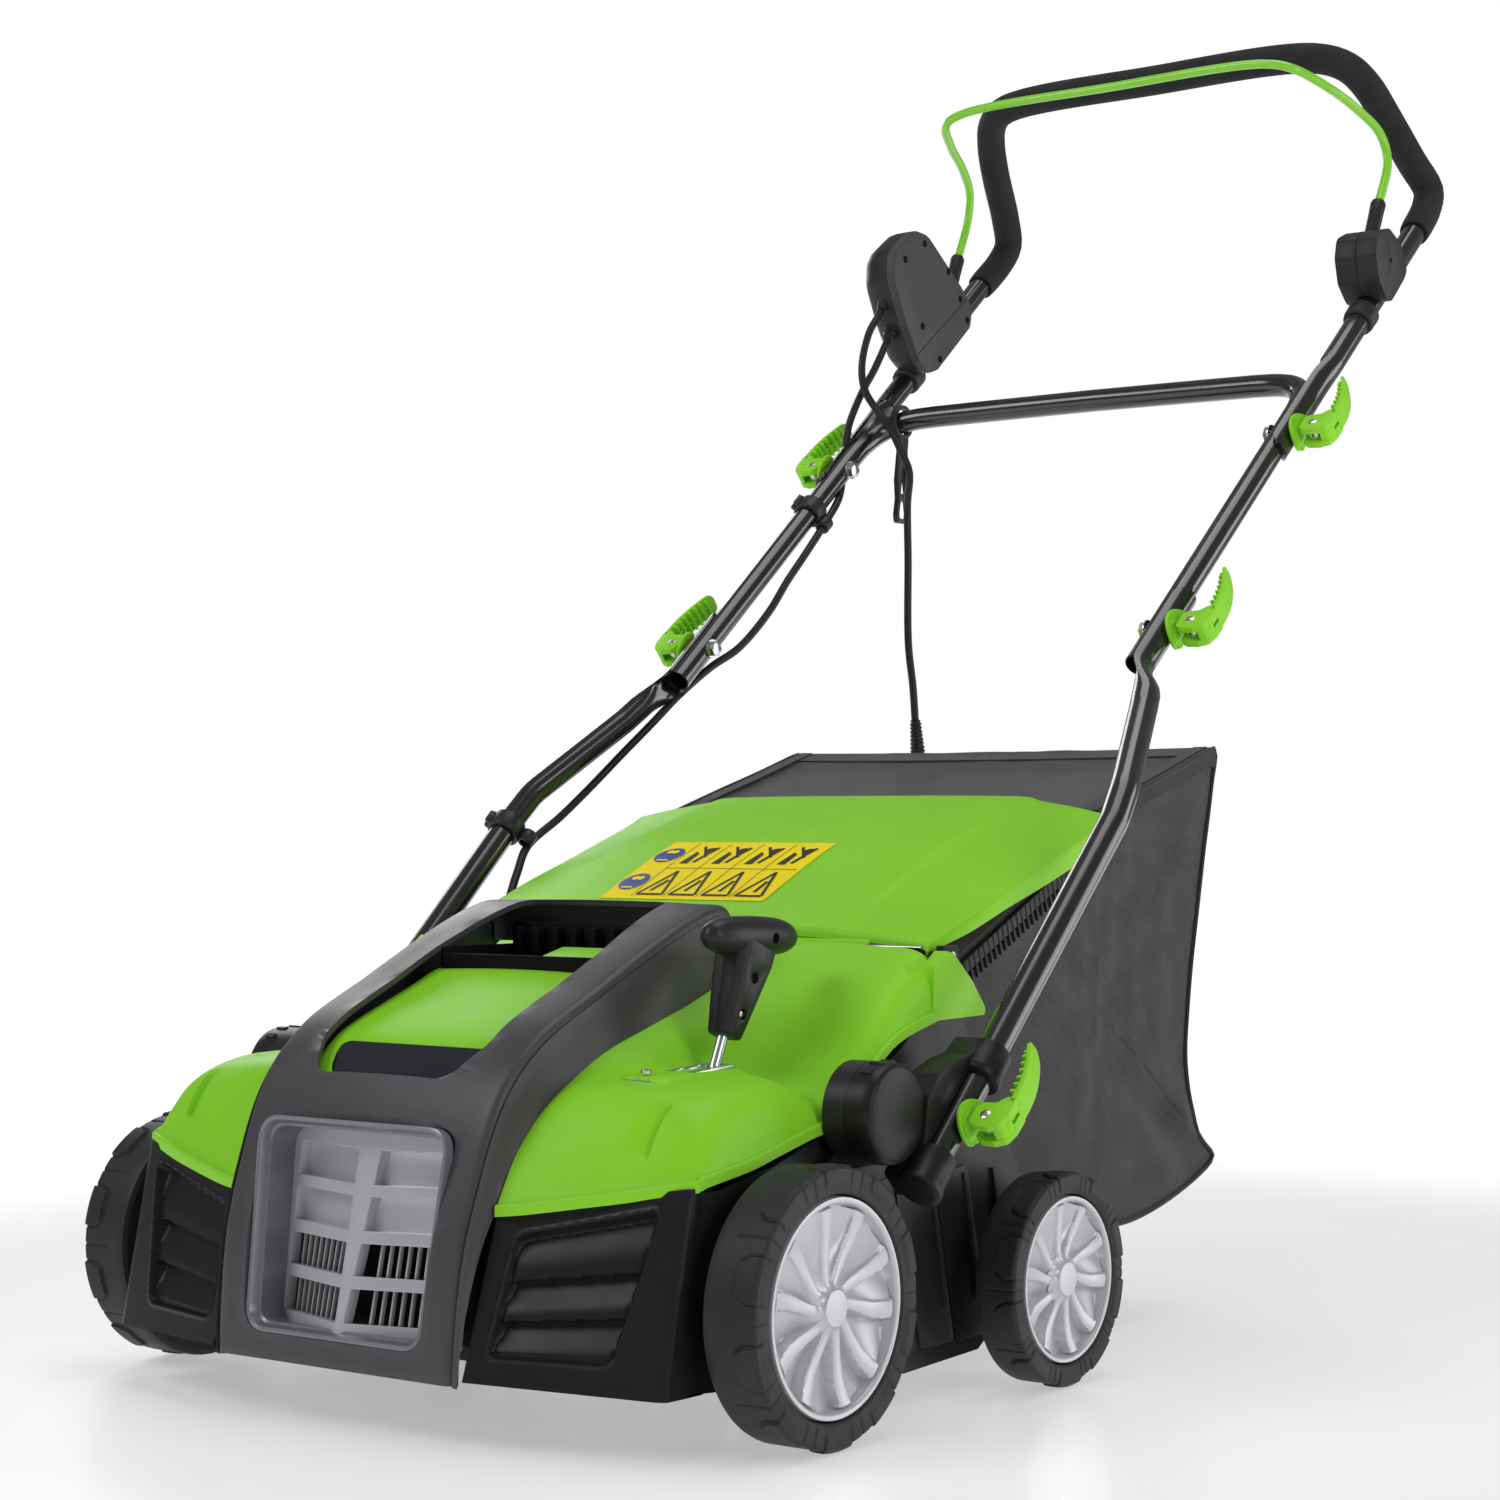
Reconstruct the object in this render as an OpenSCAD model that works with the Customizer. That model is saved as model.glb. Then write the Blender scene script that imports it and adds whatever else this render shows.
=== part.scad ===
// Electric lawn dethatcher: deck, tine reel, belt drive, folding handle, flap and bag.
// Y runs from the nose to the handle, Z is up, and the wheels stand on Z = 0.

/* [Wheels] */
// Radius of the front wheels
front_wheel_r = 90; // [86:1:92]
// Radius of the rear wheels
rear_wheel_r = 75; // [70:1:76]
// Distance from the centre plane to the outer face of each wheel
wheel_face_x = 305; // [305:1:310]
// Radius of the axle stubs
axle_r = 6; // [5:0.5:7]

/* [Deck] */
// Half of the width over the deck's side walls
deck_half_w = 245; // [244:1:246]
// Thickness of the deck's walls
wall = 3; // [2:0.5:4]
// Half of the width of the hood
hood_half_w = 115; // [112:1:116]

/* [Reel] */
// Radius that the tine tips reach
tine_tip_r = 58; // [52:1:60]
// Number of tine holders on the reel
holders = 13; // [9:2:13]
// Pitch between neighbouring tine holders
holder_pitch = 29; // [26:1:29]

/* [Handle] */
// Radius of the lower legs' tube
leg_r = 11; // [10:0.5:11]
// Radius of the middle frame's tube
frame_r = 10; // [9:0.5:10]
// Radius of the upper handle's tube
handle_r = 10.5; // [9.5:0.5:10.5]
// Radius of the foam grip
foam_r = 15; // [13:0.5:16]
// Radius of the bail's wire
bail_r = 4; // [3:0.5:4.5]

/* [Hidden] */
$fn = 48;

mid_y = 274;          // from the axes' own zero to the middle of the whole length
gap = 0.3;            // between pieces that pass each other
bore_slack = 0.08;    // radial, for a pin that turns in its hole
reel_at = [-60, 68];
motor_at = [-150, 175];
front_bar_at = [-204, 100];
front_axle_at = [-182, front_wheel_r];
rear_axle_at = [97, rear_wheel_r];
flap_rod_at = [36, 302];
pod_at = [-93, 204];
lower_bolt_at = [360, 546];
upper_bolt_at = [570, 722];
bail_at = [735, 885];
button_at = [664, 928];
deck_bolt_at = [-30, 194.5];
tube_wall = 1.6;       // of the legs, the middle frame and the handle
clamp_slope = 40;      // of the tubes, up and to the back
eye_x = 258.5;         // of the cams' pins on the upper clamps
deck_eye_x = 319.5;    // of the cams' pins on the deck's clamps

// The handle's centrelines on the left side
leg_path = [[292, -68, 159], [292, 180, 396], [288, 202, 419], [256, 286, 482],
    [250, 303, 497]];
frame_path = [[228, 325, 517], [228, 600, 747], [222, 622, 764], [204, 633, 772],
    [0, 645, 777]];
handle_path = [[234, 655, 794], [234, 811, 924], [231, 850, 958], [228, 860, 976],
    [220, 842, 1000], [210, 808, 1038], [202, 788, 1062], [190, 772, 1078],
    [165, 758, 1087], [0, 750, 1089]];
bail_path = [[224, 740, 900], [224.8, 759, 941], [225, 781, 990], [220, 777, 1014],
    [211, 751, 1032], [200, 713, 1047], [182, 678, 1060], [158, 672, 1066],
    [0, 672, 1068]];

// Outlines in Y and Z
deck_side = [[-250, 40], [-251, 164], [-222, 164], [-170, 174], [-105, 192], [-12, 250],
    [12, 256], [50, 262], [78, 200], [124, 150], [128, 60], [70, 24], [-23, 20]];
hood_top = [[-326, 38], [-326, 56], [-318, 110], [-308, 160], [-294, 196], [-269, 236],
    [-235, 262], [-187, 284], [-134, 308], [-70, 334], [-40, 334]];
hood_low = [[-42, 296], [-86, 276], [-145, 261], [-195, 245], [-227, 226], [-256, 205],
    [-276, 181], [-297, 151], [-314, 91], [-320, 38]];
bag_side = [[64, 284], [285, 386], [302, 404], [478, 455], [462, 380], [445, 310],
    [428, 208], [446, 140], [474, 122], [399, 94], [330, 83], [152, 92], [137, 152],
    [88, 212]];
bag_hollow = [[62, 281], [286, 383], [304, 401], [474, 450], [459, 380], [442, 310],
    [425, 208], [443, 140], [462, 122], [398, 97], [330, 86], [155, 95], [140, 153],
    [80, 212]];

// Height of the top cover along the nose-to-hinge line, one list for each distance from
// the centre plane
cover_columns = [118, 150, 205, 238, 250];
cover_lines = [
    [[-291, 151], [-274, 180], [-256, 203], [-227, 224], [-195, 243], [-145, 259],
        [-86, 274], [12, 292]],
    [[-283, 157], [-262, 200], [-244, 226], [-214, 231], [-170, 231], [-133, 238],
        [-60, 262], [12, 296]],
    [[-270, 163], [-256, 195], [-240, 222], [-205, 228], [-170, 229], [-133, 228],
        [-60, 252], [12, 300]],
    [[-257, 170], [-248, 200], [-235, 224], [-205, 224], [-170, 224], [-120, 214],
        [-50, 252], [12, 296]],
    [[-252, 171], [-246, 174], [-235, 176], [-205, 178], [-170, 184], [-105, 199],
        [-30, 250], [12, 264]]];
flap_columns = [0, 150, 205, 236];
flap_lines = [
    [[27, 318], [120, 364], [211, 397], [291, 416]],
    [[27, 318], [120, 364], [211, 397], [291, 416]],
    [[27, 315], [120, 352], [211, 382], [286, 405]],
    [[27, 310], [120, 342], [211, 374], [281, 398]]];

// Routes of the cables
upper_route = [[-226, 646, 858], [-226, 620, 822], [-230, 606, 800],
    [-236, 592, 766]];
middle_route = [[-222, 562, 699], [-216, 517, 661], [-216, 468, 612],
    [-218, 442, 582], [-224, 406, 549], [-232, 376, 531]];
lower_route = [[-238, 336, 496], [-246, 308, 468], [-258, 286, 448],
    [-272, 262, 424], [-276, 226, 396], [-276, 190, 376], [-266, 166, 358],
    [-256, 130, 320], [-250, 96, 290]];
supply_route = [[-226, 638, 897], [-228, 614, 856], [-226, 600, 812],
    [-216, 602, 790], [-198, 603, 766], [-188, 610, 740], [-182, 614, 722],
    [-180, 608, 690], [-178, 606, 640], [-175, 602, 560], [-172, 605, 520],
    [-170, 606, 486]];

function unit(v) = v / norm(v);
function turn(v, a) = [v.x * cos(a) - v.y * sin(a), v.x * sin(a) + v.y * cos(a)];

// Moves the drawing so that its zero lies under the middle of the whole object
module machine() translate([0, -mid_y, 0]) children();

// Draws on the left side, or mirrored on the right side
module on_side(side) {
    if (side > 0) children();
    else mirror([1, 0, 0]) children();
}

module both_sides() {
    children();
    mirror([1, 0, 0]) children();
}

// Extrudes an outline in Y and Z from x0 to x1
module slab(x0, x1) {
    translate([x0, 0, 0]) rotate([90, 0, 90]) linear_extrude(x1 - x0) children();
}

// A round bar along X from x0 to x1
module bar(x0, x1, at, r) {
    translate([x0, at.x, at.y]) rotate([0, 90, 0]) cylinder(r = r, h = x1 - x0);
}

// A round rod between two points
module rod(a, b, r) {
    v = b - a;
    translate(a) rotate([0, acos(v.z / norm(v)), atan2(v.y, v.x)])
        cylinder(r = r, h = norm(v));
}

// A path on the left side joined to its mirror image on the right side
function looped(points) = concat(points,
    [for (i = [len(points) - 2:-1:0]) [-points[i].x, points[i].y, points[i].z]]);

// Carries a cross direction along a list of tangents without twist
function carry(tangents, u, i = 0) =
    let (t = tangents[i], w = unit(u - (u * t) * t))
    i == len(tangents) - 1 ? [w] : concat([w], carry(tangents, w, i + 1));

// A tube swept along a route, as one closed mesh
module swept(points, r, sides = 8) {
    last = len(points) - 1;
    tangents = [for (i = [0:last])
        unit(points[min(i + 1, last)] - points[max(i - 1, 0)])];
    across = carry(tangents, cross([1, 0.02, 0.01], tangents[0]));
    rings = [for (i = [0:last], k = [0:sides - 1])
        let (t = tangents[i], u = across[i], v = cross(t, u), a = k * 360 / sides)
        points[i] + r * (cos(a) * u + sin(a) * v)];
    walls = [for (i = [0:last - 1], k = [0:sides - 1])
        let (n = (k + 1) % sides, a = i * sides, b = a + sides)
        each [[b + n, a + n, a + k], [b + k, b + n, a + k]]];
    first_cap = [for (k = [0:sides - 1]) k];
    last_cap = [for (k = [sides - 1:-1:0]) last * sides + k];
    polyhedron(rings, concat([first_cap], walls, [last_cap]), convexity = 4);
}

// A skin over a grid of points, given as rows across a mirrored list of columns
module skin(columns, lines, shift) {
    side = len(columns) - 1;
    xs = concat([for (i = [side:-1:0]) -columns[i]],
        [for (i = [columns[0] == 0 ? 1 : 0:side]) columns[i]]);
    which = concat([for (i = [side:-1:0]) i],
        [for (i = [columns[0] == 0 ? 1 : 0:side]) i]);
    m = len(xs);
    n = len(lines[0]);
    top = [for (j = [0:n - 1], i = [0:m - 1])
        [xs[i], lines[which[i]][j].x, lines[which[i]][j].y]];
    low = [for (p = top) p + shift];
    k = m * n;
    upper = [for (j = [0:n - 2], i = [0:m - 2]) each
        [[j * m + i, (j + 1) * m + i, (j + 1) * m + i + 1],
         [j * m + i, (j + 1) * m + i + 1, j * m + i + 1]]];
    lower = [for (f = upper) [f[2] + k, f[1] + k, f[0] + k]];
    front = [for (i = [0:m - 2]) each
        [[i, i + 1, k + i + 1], [i, k + i + 1, k + i]]];
    back = [for (i = [0:m - 2]) let (a = (n - 1) * m + i) each
        [[a + 1, a, k + a], [a + 1, k + a, k + a + 1]]];
    left = [for (j = [0:n - 2]) let (a = j * m, b = a + m) each
        [[b, a, k + a], [b, k + a, k + b]]];
    right = [for (j = [0:n - 2]) let (a = j * m + m - 1, b = a + m) each
        [[a, b, k + b], [a, k + b, k + a]]];
    polyhedron(concat(top, low), concat(upper, lower, front, back, left, right),
        convexity = 6);
}

// ---- Deck and covers ----

// The plates that carry the reel's and the motor's bearings
module bearing_plate(x0, outline) {
    difference() {
        slab(x0, x0 + wall) polygon(outline);
        bar(x0 - 1, x0 + wall + 1, reel_at, 20);
    }
}

module deck_shell() color([0.07, 0.07, 0.08]) machine() {
    difference() {
        union() {
            both_sides() slab(deck_half_w - wall, deck_half_w) polygon(deck_side);
            translate([-deck_half_w, -250, 40]) cube([2 * deck_half_w, wall, 122]);
            translate([-208, -248, 128]) cube([338, 133, wall]);
            bearing_plate(-208, [[-249, 60], [-249, 150], [-190, 222], [-120, 222],
                [-20, 140], [-8, 60], [-30, 40], [-90, 40]]);
            bearing_plate(205, [[-249, 60], [-249, 128], [-20, 128], [-8, 60],
                [-30, 40], [-90, 40]]);
            // Tunnel over the reel
            intersection() {
                difference() {
                    bar(-206, 206, reel_at, 69);
                    bar(-207, 207, reel_at, 66);
                }
                slab(-206, 206) polygon([[-60, 68], [-5, 107], [-5, 150], [-140, 150],
                    [-140, 48]]);
            }
            // Walls of the chute that leads up into the bag
            slab(-242.5, 242.5) polygon([[-8, 104], [-5, 104], [22, 254], [19, 254]]);
            slab(-242.5, 242.5) polygon([[8, 38], [122, 138], [120, 141], [5, 41]]);
            // Joins the bearing plates to the side walls
            for (x = [-243, 207]) translate([x, -140, 40]) cube([36, 3, 76]);
            both_sides() {
                // Upright ribs on the outside
                for (y = [-60, -18, 24, 66, 104])
                    slab(deck_half_w - 1, deck_half_w + 2.5)
                        polygon([[y, 60], [y + 3, 60],
                            [y - 15, min(150, 190 + y)], [y - 18, min(150, 190 + y)]]);
                // Lug for the flap's rod and pad for the folding handle's pivot
                slab(239, 245) polygon([[22, 250], [50, 250], [45, 309], [27, 309]]);
                slab(244, 252) polygon([[-127, 166], [-60, 166], [-56, 219],
                    [-93, 195]]);
                bar(251.5, 268, pod_at, 34);
            }
        }
        both_sides() {
            bar(200, 260, front_bar_at, axle_r + bore_slack);
            bar(236, 260, rear_axle_at, axle_r);
            bar(230, 260, flap_rod_at, 3);
            bar(236, 280, pod_at, 4);
        }
        bar(-212, -200, motor_at, 6 + bore_slack);
    }
}

// Corners of a front bumper: lower inner, lower outer, upper outer and upper inner
bumper_corners = [[118, -320, 44], [245, -286, 40], [243, -262, 160], [118, -290, 148]];

// A place on the bumper's face: s runs outwards and t runs upwards, both from 0 to 1
function bumper_at(s, t) = (1 - s) * (1 - t) * bumper_corners[0]
    + s * (1 - t) * bumper_corners[1] + s * t * bumper_corners[2]
    + (1 - s) * t * bumper_corners[3];

// A solid between two matching quads
module between(near, far) polyhedron(concat(near, far), [[2, 1, 0], [3, 2, 0],
    [4, 5, 6], [4, 6, 7], [5, 4, 0], [1, 5, 0], [6, 5, 1], [2, 6, 1], [7, 6, 2],
    [3, 7, 2], [4, 7, 3], [0, 4, 3]]);

module bumper_board(s0, s1, t0, t1, depth, thick) {
    quad = [bumper_at(s0, t0), bumper_at(s1, t0), bumper_at(s1, t1), bumper_at(s0, t1)];
    between([for (p = quad) p + [0, depth, 0]], [for (p = quad) p + [0, depth + thick, 0]]);
}

module bumper() {
    bumper_board(0, 1, 0, 0.14, 0, 4);
    bumper_board(0, 1, 0.86, 1, 0, 4);
    bumper_board(0, 0.14, 0.13, 0.87, 0, 4);
    bumper_board(0.88, 1, 0.13, 0.87, 0, 4);
    bumper_board(0.12, 0.9, 0.12, 0.88, 3.5, 3);
    for (t = [0.32, 0.54, 0.76]) bumper_board(0.13, 0.89, t - 0.03, t + 0.03, 1, 3);
    // Return wall along the wheel
    outer = [bumper_corners[1], [245, -251.4, 40], [243, -251.4, 160], bumper_corners[2]];
    between(outer, [for (p = outer) p - [3, 0, 0]]);
}

module bumpers() color([0.08, 0.08, 0.09]) machine() both_sides() bumper();

module top_cover() color([0.45, 0.82, 0.13]) machine() difference() {
    skin(cover_columns, cover_lines, [0, 2.5, -2.5]);
    // Slot of the depth lever and seat of its plate
    translate([163, -212, 180]) cube([14, 82, 90]);
    translate([156.9, -211.1, 231.3]) cube([26.2, 84.2, 30]);
    // Air opening behind the grille
    on_nose() translate([-86, 1, -22.5]) cube([172, 131, 40]);
}

module front_hood() color([0.27, 0.26, 0.28]) machine() difference() {
    slab(-hood_half_w, hood_half_w) polygon(concat(hood_top, hood_low));
    // Hollow behind the nose and beneath the panel
    slab(-hood_half_w + wall, hood_half_w - wall) polygon([[-322, 30], [-322, 56],
        [-314, 110], [-304, 160], [-290, 194], [-267, 226], [-235, 246], [-187, 266],
        [-134, 288], [-84, 305], [-84, 260], [-145, 240], [-227, 190], [-276, 120],
        [-300, 30]]);
    // Window of the panel, finger opening and opening of the grille
    slab(-75, 75) polygon([[-274, 225], [-250, 300], [-139, 340], [-137, 280],
        [-240, 200]]);
    slab(-68, 68) polygon([[-137.5, 270], [-139, 340], [-76, 345], [-76, 270]]);
    slab(-86, 86) polygon([[-335, 62], [-315, 200], [-275, 192], [-290, 62]]);
}

// Things drawn on the leaning front face: X across, Y up along the face, Z outwards
module on_nose() translate([0, -317, 62]) rotate([90 - 12.5, 0, 0]) children();

module grille() color([0.68, 0.67, 0.7]) machine() on_nose() {
    difference() {
        translate([-85.5, 1.5, -22]) cube([171, 130, 20]);
        translate([-79, 7, -19]) cube([158, 118, 30]);
    }
    // Upright ridge and cross bars
    translate([-5, 5, -20]) cube([10, 122, 22]);
    for (y = [34, 62, 92]) translate([-80, y, -19]) cube([160, 5, 12]);
    // Fine slats of the two lower rows
    for (side = [-1, 1], row = [7, 39], i = [0:8])
        translate([side * (16 + i * 7) - 1, row - 1, -16]) cube([2, 28, 5]);
    // Closed backs of the two upper rows
    translate([-80, 66, -19]) cube([160, 60, 3]);
}

module hood_panel() color([0.5, 0.84, 0.2]) machine()
    slab(-74, 74) polygon([[-271, 229], [-250, 249], [-187, 272], [-138.5, 291],
        [-138.5, 287.5], [-187, 268.5], [-249, 245.5], [-268, 227]]);

module badge_plate() color([0.03, 0.04, 0.08]) machine()
    slab(-60, 60) polygon([[-268, 232.4], [-251, 248.7], [-253, 250.8], [-270, 234.5]]);

module lever_plate() color([0.75, 0.75, 0.77]) machine() difference() {
    translate([157, -211, 231.4]) cube([26, 84, 1.6]);
    translate([165.5, -206, 225]) cube([9, 76, 12]);
    for (y = [-200, -182, -164, -146]) translate([160, y, 225]) cube([8, 7, 12]);
    translate([170, -208.5, 225]) cylinder(r = 2.05, h = 12);
}

// Screws of the covers, pivot bolts of the handle and nuts of the rear axle
module deck_fasteners() color([0.7, 0.7, 0.72]) machine() {
    translate([170, -208.5, 230]) cylinder(r = 2, h = 3.1);
    translate([170, -208.5, 233.1]) cylinder(r = 3.6, h = 2);
    both_sides() {
        for (y = [-225, -40])
            translate([215, y, lookup(y, [[-225, 224.8], [-40, 262.2]])])
                cylinder(r = 3.5, h = 3);
        bar(238, 280.5, pod_at, 3.96);
        bar(236, 239, pod_at, 7);
        bar(280.5, 284, pod_at, 6.5);
        difference() {
            bar(290.4, 295, rear_axle_at, 10);
            bar(280, 300, rear_axle_at, axle_r);
        }
    }
}

// ---- Drive ----

module motor_can() color([0.5, 0.5, 0.52]) machine() difference() {
    union() {
        bar(-90, 60, motor_at, 41);
        bar(60, 72, motor_at, 18);
        translate([-70, motor_at.x - 34, 131.1]) cube([110, 68, 10]);
    }
    bar(-100, 80, motor_at, 6 + bore_slack);
}

// Motor shaft with its fan and small pulley
module motor_shaft() color([0.75, 0.75, 0.78]) machine() {
    bar(-236, 68, motor_at, 6);
    bar(-227, -215, motor_at, 13.5);
    bar(-228.5, -226.8, motor_at, 17);
    bar(-215.2, -213.5, motor_at, 17);
    bar(-110, -98, motor_at, 12);
    bar(-108, -105, motor_at, 36);
}

// Flat outline round the two pulleys, grown by the given amount
module belt_outline(grow) {
    hull() {
        translate(motor_at) circle(r = 14 + grow);
        translate(reel_at) circle(r = 32 + grow);
    }
}

module drive_belt() color([0.05, 0.05, 0.05]) machine() difference() {
    slab(-226.5, -215.5) belt_outline(3);
    slab(-230, -210) belt_outline(0);
}

module reel_shaft() color([0.12, 0.12, 0.13]) machine() {
    difference() {
        union() {
            bar(-202.5, 202.5, reel_at, 11);
            bar(202, 214, reel_at, 8);
            bar(-236, -202, reel_at, 8);
            // Large pulley
            bar(-227, -215, reel_at, 31.5);
            bar(-228.5, -227, reel_at, 35);
            bar(-215, -213.5, reel_at, 35);
        }
        bar(-240, -229, reel_at, 3);
    }
}

// Places one copy at each tine holder, each turned on from the one before
module each_holder() {
    for (i = [0:holders - 1])
        translate([(i - (holders - 1) / 2) * holder_pitch, reel_at.x, reel_at.y])
            rotate([i * 360 / 13 * 4, 0, 0]) children();
}

module tine_holders() color([0.09, 0.09, 0.1]) machine() each_holder() {
    difference() {
        union() {
            translate([-9, 0, 0]) rotate([0, 90, 0]) cylinder(r = 19, h = 18);
            for (s = [-1, 1]) rotate([s * 90 + 90, 0, 0]) {
                translate([-9, -10, 10]) cube([6, 20, 23]);
                translate([-4, 0, 26]) rotate([0, 90, 0]) cylinder(r = 3, h = 11);
            }
        }
        translate([-12, 0, 0]) rotate([0, 90, 0]) cylinder(r = 11, h = 24);
    }
}

module spring_tines() color([0.8, 0.8, 0.82]) machine() each_holder()
    for (s = [-1, 1]) rotate([s * 90 + 90, 0, 0]) {
        difference() {
            translate([-2.7, 0, 26]) rotate([0, 90, 0]) cylinder(r = 5.4, h = 9);
            translate([-4, 0, 26]) rotate([0, 90, 0]) cylinder(r = 3.2, h = 14);
        }
        rod([-1, 4.2, 27], [-1, 9, tine_tip_r - 3], 1.25);
        rod([4.5, 4.2, 27], [4.5, 9, tine_tip_r - 3], 1.25);
    }

module reel_bearings() color([0.78, 0.78, 0.8]) machine() {
    for (x = [-212, 204]) difference() {
        bar(x, x + 8, reel_at, 20 - 0.02);
        bar(x - 1, x + 9, reel_at, 8 + bore_slack);
    }
}

// ---- Axles and wheels ----

// Cranked front axle with the lever that turns it
module front_axle() color([0.7, 0.7, 0.72]) machine() {
    bar(-252, 252, front_bar_at, axle_r);
    both_sides() {
        bar(247, 253, front_bar_at, 10);
        bar(247, 253, front_axle_at, 10);
        slab(247, 253) polygon([front_bar_at + [-1, 7], front_bar_at + [-1, -7],
            front_axle_at + [1, -7], front_axle_at + [1, 7]]);
        bar(247, 297, front_axle_at, axle_r);
    }
    rod([170, -203, 103], [170, -136, 232], 4);
    rod([170, -138, 228], [170, -103, 306], 3.98);
}

module rear_axle() color([0.7, 0.7, 0.72]) machine()
    bar(-297, 297, rear_axle_at, axle_r);

// A wheel with its axle along X: tread ring, web and hub
module wheel(side, at, r, inner_x, rim_r) color([0.1, 0.1, 0.1]) machine()
    on_side(side) difference() {
        union() {
            difference() {
                bar(inner_x, wheel_face_x, at, r);
                bar(inner_x - 1, wheel_face_x + 1, at, rim_r);
            }
            bar(282, 286, at, rim_r + 1);
            bar(max(inner_x, 262), 290, at, 14);
        }
        bar(inner_x - 20, 300, at, axle_r + bore_slack);
        // Tread grooves across the outer edge
        for (k = [0:9]) translate([0, at.x, at.y]) rotate([k * 36 + 9, 0, 0])
            translate([wheel_face_x - 18, -1.2, r - 3]) cube([20, 2.4, 6]);
    }

// The silver disc that snaps into a wheel
module hub_cap(side, at, rim_r) color([0.68, 0.67, 0.7]) machine() on_side(side) {
    difference() {
        bar(286.1, 303, at, rim_r - 0.1);
        bar(280, 297.5, at, rim_r - 4);
        bar(299.5, 310, at, rim_r - 5);
    }
    for (k = [0:4], s = [-1, 1]) translate([0, at.x, at.y])
        rotate([k * 72 + s * 13, 0, 0]) translate([298.5, -3, 8])
            cube([3.5, 6, rim_r - 11]);
    bar(298.5, 302.5, at, 12);
}

module front_left_wheel() wheel(1, front_axle_at, front_wheel_r, 263, 70.5);
module front_right_wheel() wheel(-1, front_axle_at, front_wheel_r, 263, 70.5);
module rear_left_wheel() wheel(1, rear_axle_at, rear_wheel_r, 271, 58.5);
module rear_right_wheel() wheel(-1, rear_axle_at, rear_wheel_r, 271, 58.5);
module front_left_hub_cap() hub_cap(1, front_axle_at, 70.5);
module front_right_hub_cap() hub_cap(-1, front_axle_at, 70.5);
module rear_left_hub_cap() hub_cap(1, rear_axle_at, 58.5);
module rear_right_hub_cap() hub_cap(-1, rear_axle_at, 58.5);

// ---- Depth lever's handle ----

module lever_grip() color([0.14, 0.14, 0.15]) machine() difference() {
    // Stem along the lever and the grip that lies fore and aft on top
    union() {
        translate([170, -127, 252]) rotate([-22.6, 0, 0])
            translate([-11, -11, 0]) cube([22, 22, 58]);
        rod([170, -145, 319.4], [170, -50, 315.6], 14);
    }
    rod([170, -137, 230], [170, -100.2, 312.4], 4.02);
}

// ---- Flap ----

module rear_flap() color([0.48, 0.83, 0.17]) machine() {
    skin(flap_columns, flap_lines, [0, 1, -3]);
    both_sides() difference() {
        union() {
            bar(212, 230, flap_rod_at, 6);
            slab(212, 230) polygon([flap_rod_at + [-5, 2], flap_rod_at + [5, 2],
                [44, 319], [32, 313]]);
        }
        bar(200, 240, flap_rod_at, 2.98 + bore_slack);
    }
}

module flap_rod() color([0.75, 0.75, 0.77]) machine() bar(-247, 247, flap_rod_at, 2.98);

module flap_spring() color([0.7, 0.7, 0.72]) machine() difference() {
    bar(196, 211, flap_rod_at, 5.5);
    bar(190, 215, flap_rod_at, 3.6);
}

// ---- Folding handle ----

leg_way = unit(leg_path[1] - leg_path[0]);

module leg_brackets() color([0.08, 0.08, 0.09]) machine() both_sides() difference() {
    union() {
        bar(268 + gap, 283, pod_at, 33);
        slab(268 + gap, 281) polygon([[-118, 184], [-110, 232], [-80, 236], [-10, 240],
            [20, 226], [-54, 150], [-92, 164]]);
        rod(leg_path[0] - 10 * leg_way, leg_path[0] + 22 * leg_way, 15.5);
        rod(leg_path[0] + 88 * leg_way, leg_path[0] + 116 * leg_way, 16);
    }
    rod(leg_path[0] - 0.1 * leg_way, leg_path[0] + 130 * leg_way, leg_r + 0.02);
    bar(260, 279, pod_at, 4 + 0.04);
    bar(279, 300, pod_at, 7);
    bar(266, 320, deck_bolt_at, 4.05);
}

// The pressed end of a tube: a flat strap around a clamp bolt, with a neck to the tube
module pressed_end(at, way, back, ahead) {
    slab(238.3, 241.8) polygon([at - back * way + 11 * [-way.y, way.x],
        at - back * way - 11 * [-way.y, way.x], at + ahead * way - 11 * [-way.y, way.x],
        at + ahead * way + 11 * [-way.y, way.x]]);
}

frame_way = unit([275, 230]);

module lower_legs() color([0.06, 0.06, 0.07]) machine() both_sides() difference() {
    union() {
        rod(leg_path[0], leg_path[1], leg_r);
        swept([for (i = [0:4]) i == 0 ? leg_path[1] - 8 * leg_way : leg_path[i]],
            leg_r - 0.1, 14);
        rod(leg_path[4] - [0, 8, 7], [245.5, 326, 517], 6.5);
        pressed_end(lower_bolt_at, frame_way, 50, 45);
    }
    rod(leg_path[0] - leg_way, leg_path[1], leg_r - tube_wall);
    swept([for (i = [0:3]) i == 0 ? leg_path[1] - 10 * leg_way : leg_path[i]],
        leg_r - 0.1 - tube_wall, 14);
    bar(230, 250, lower_bolt_at, 4.02);
    bar(270, 320, deck_bolt_at, 4.02);
}

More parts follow.
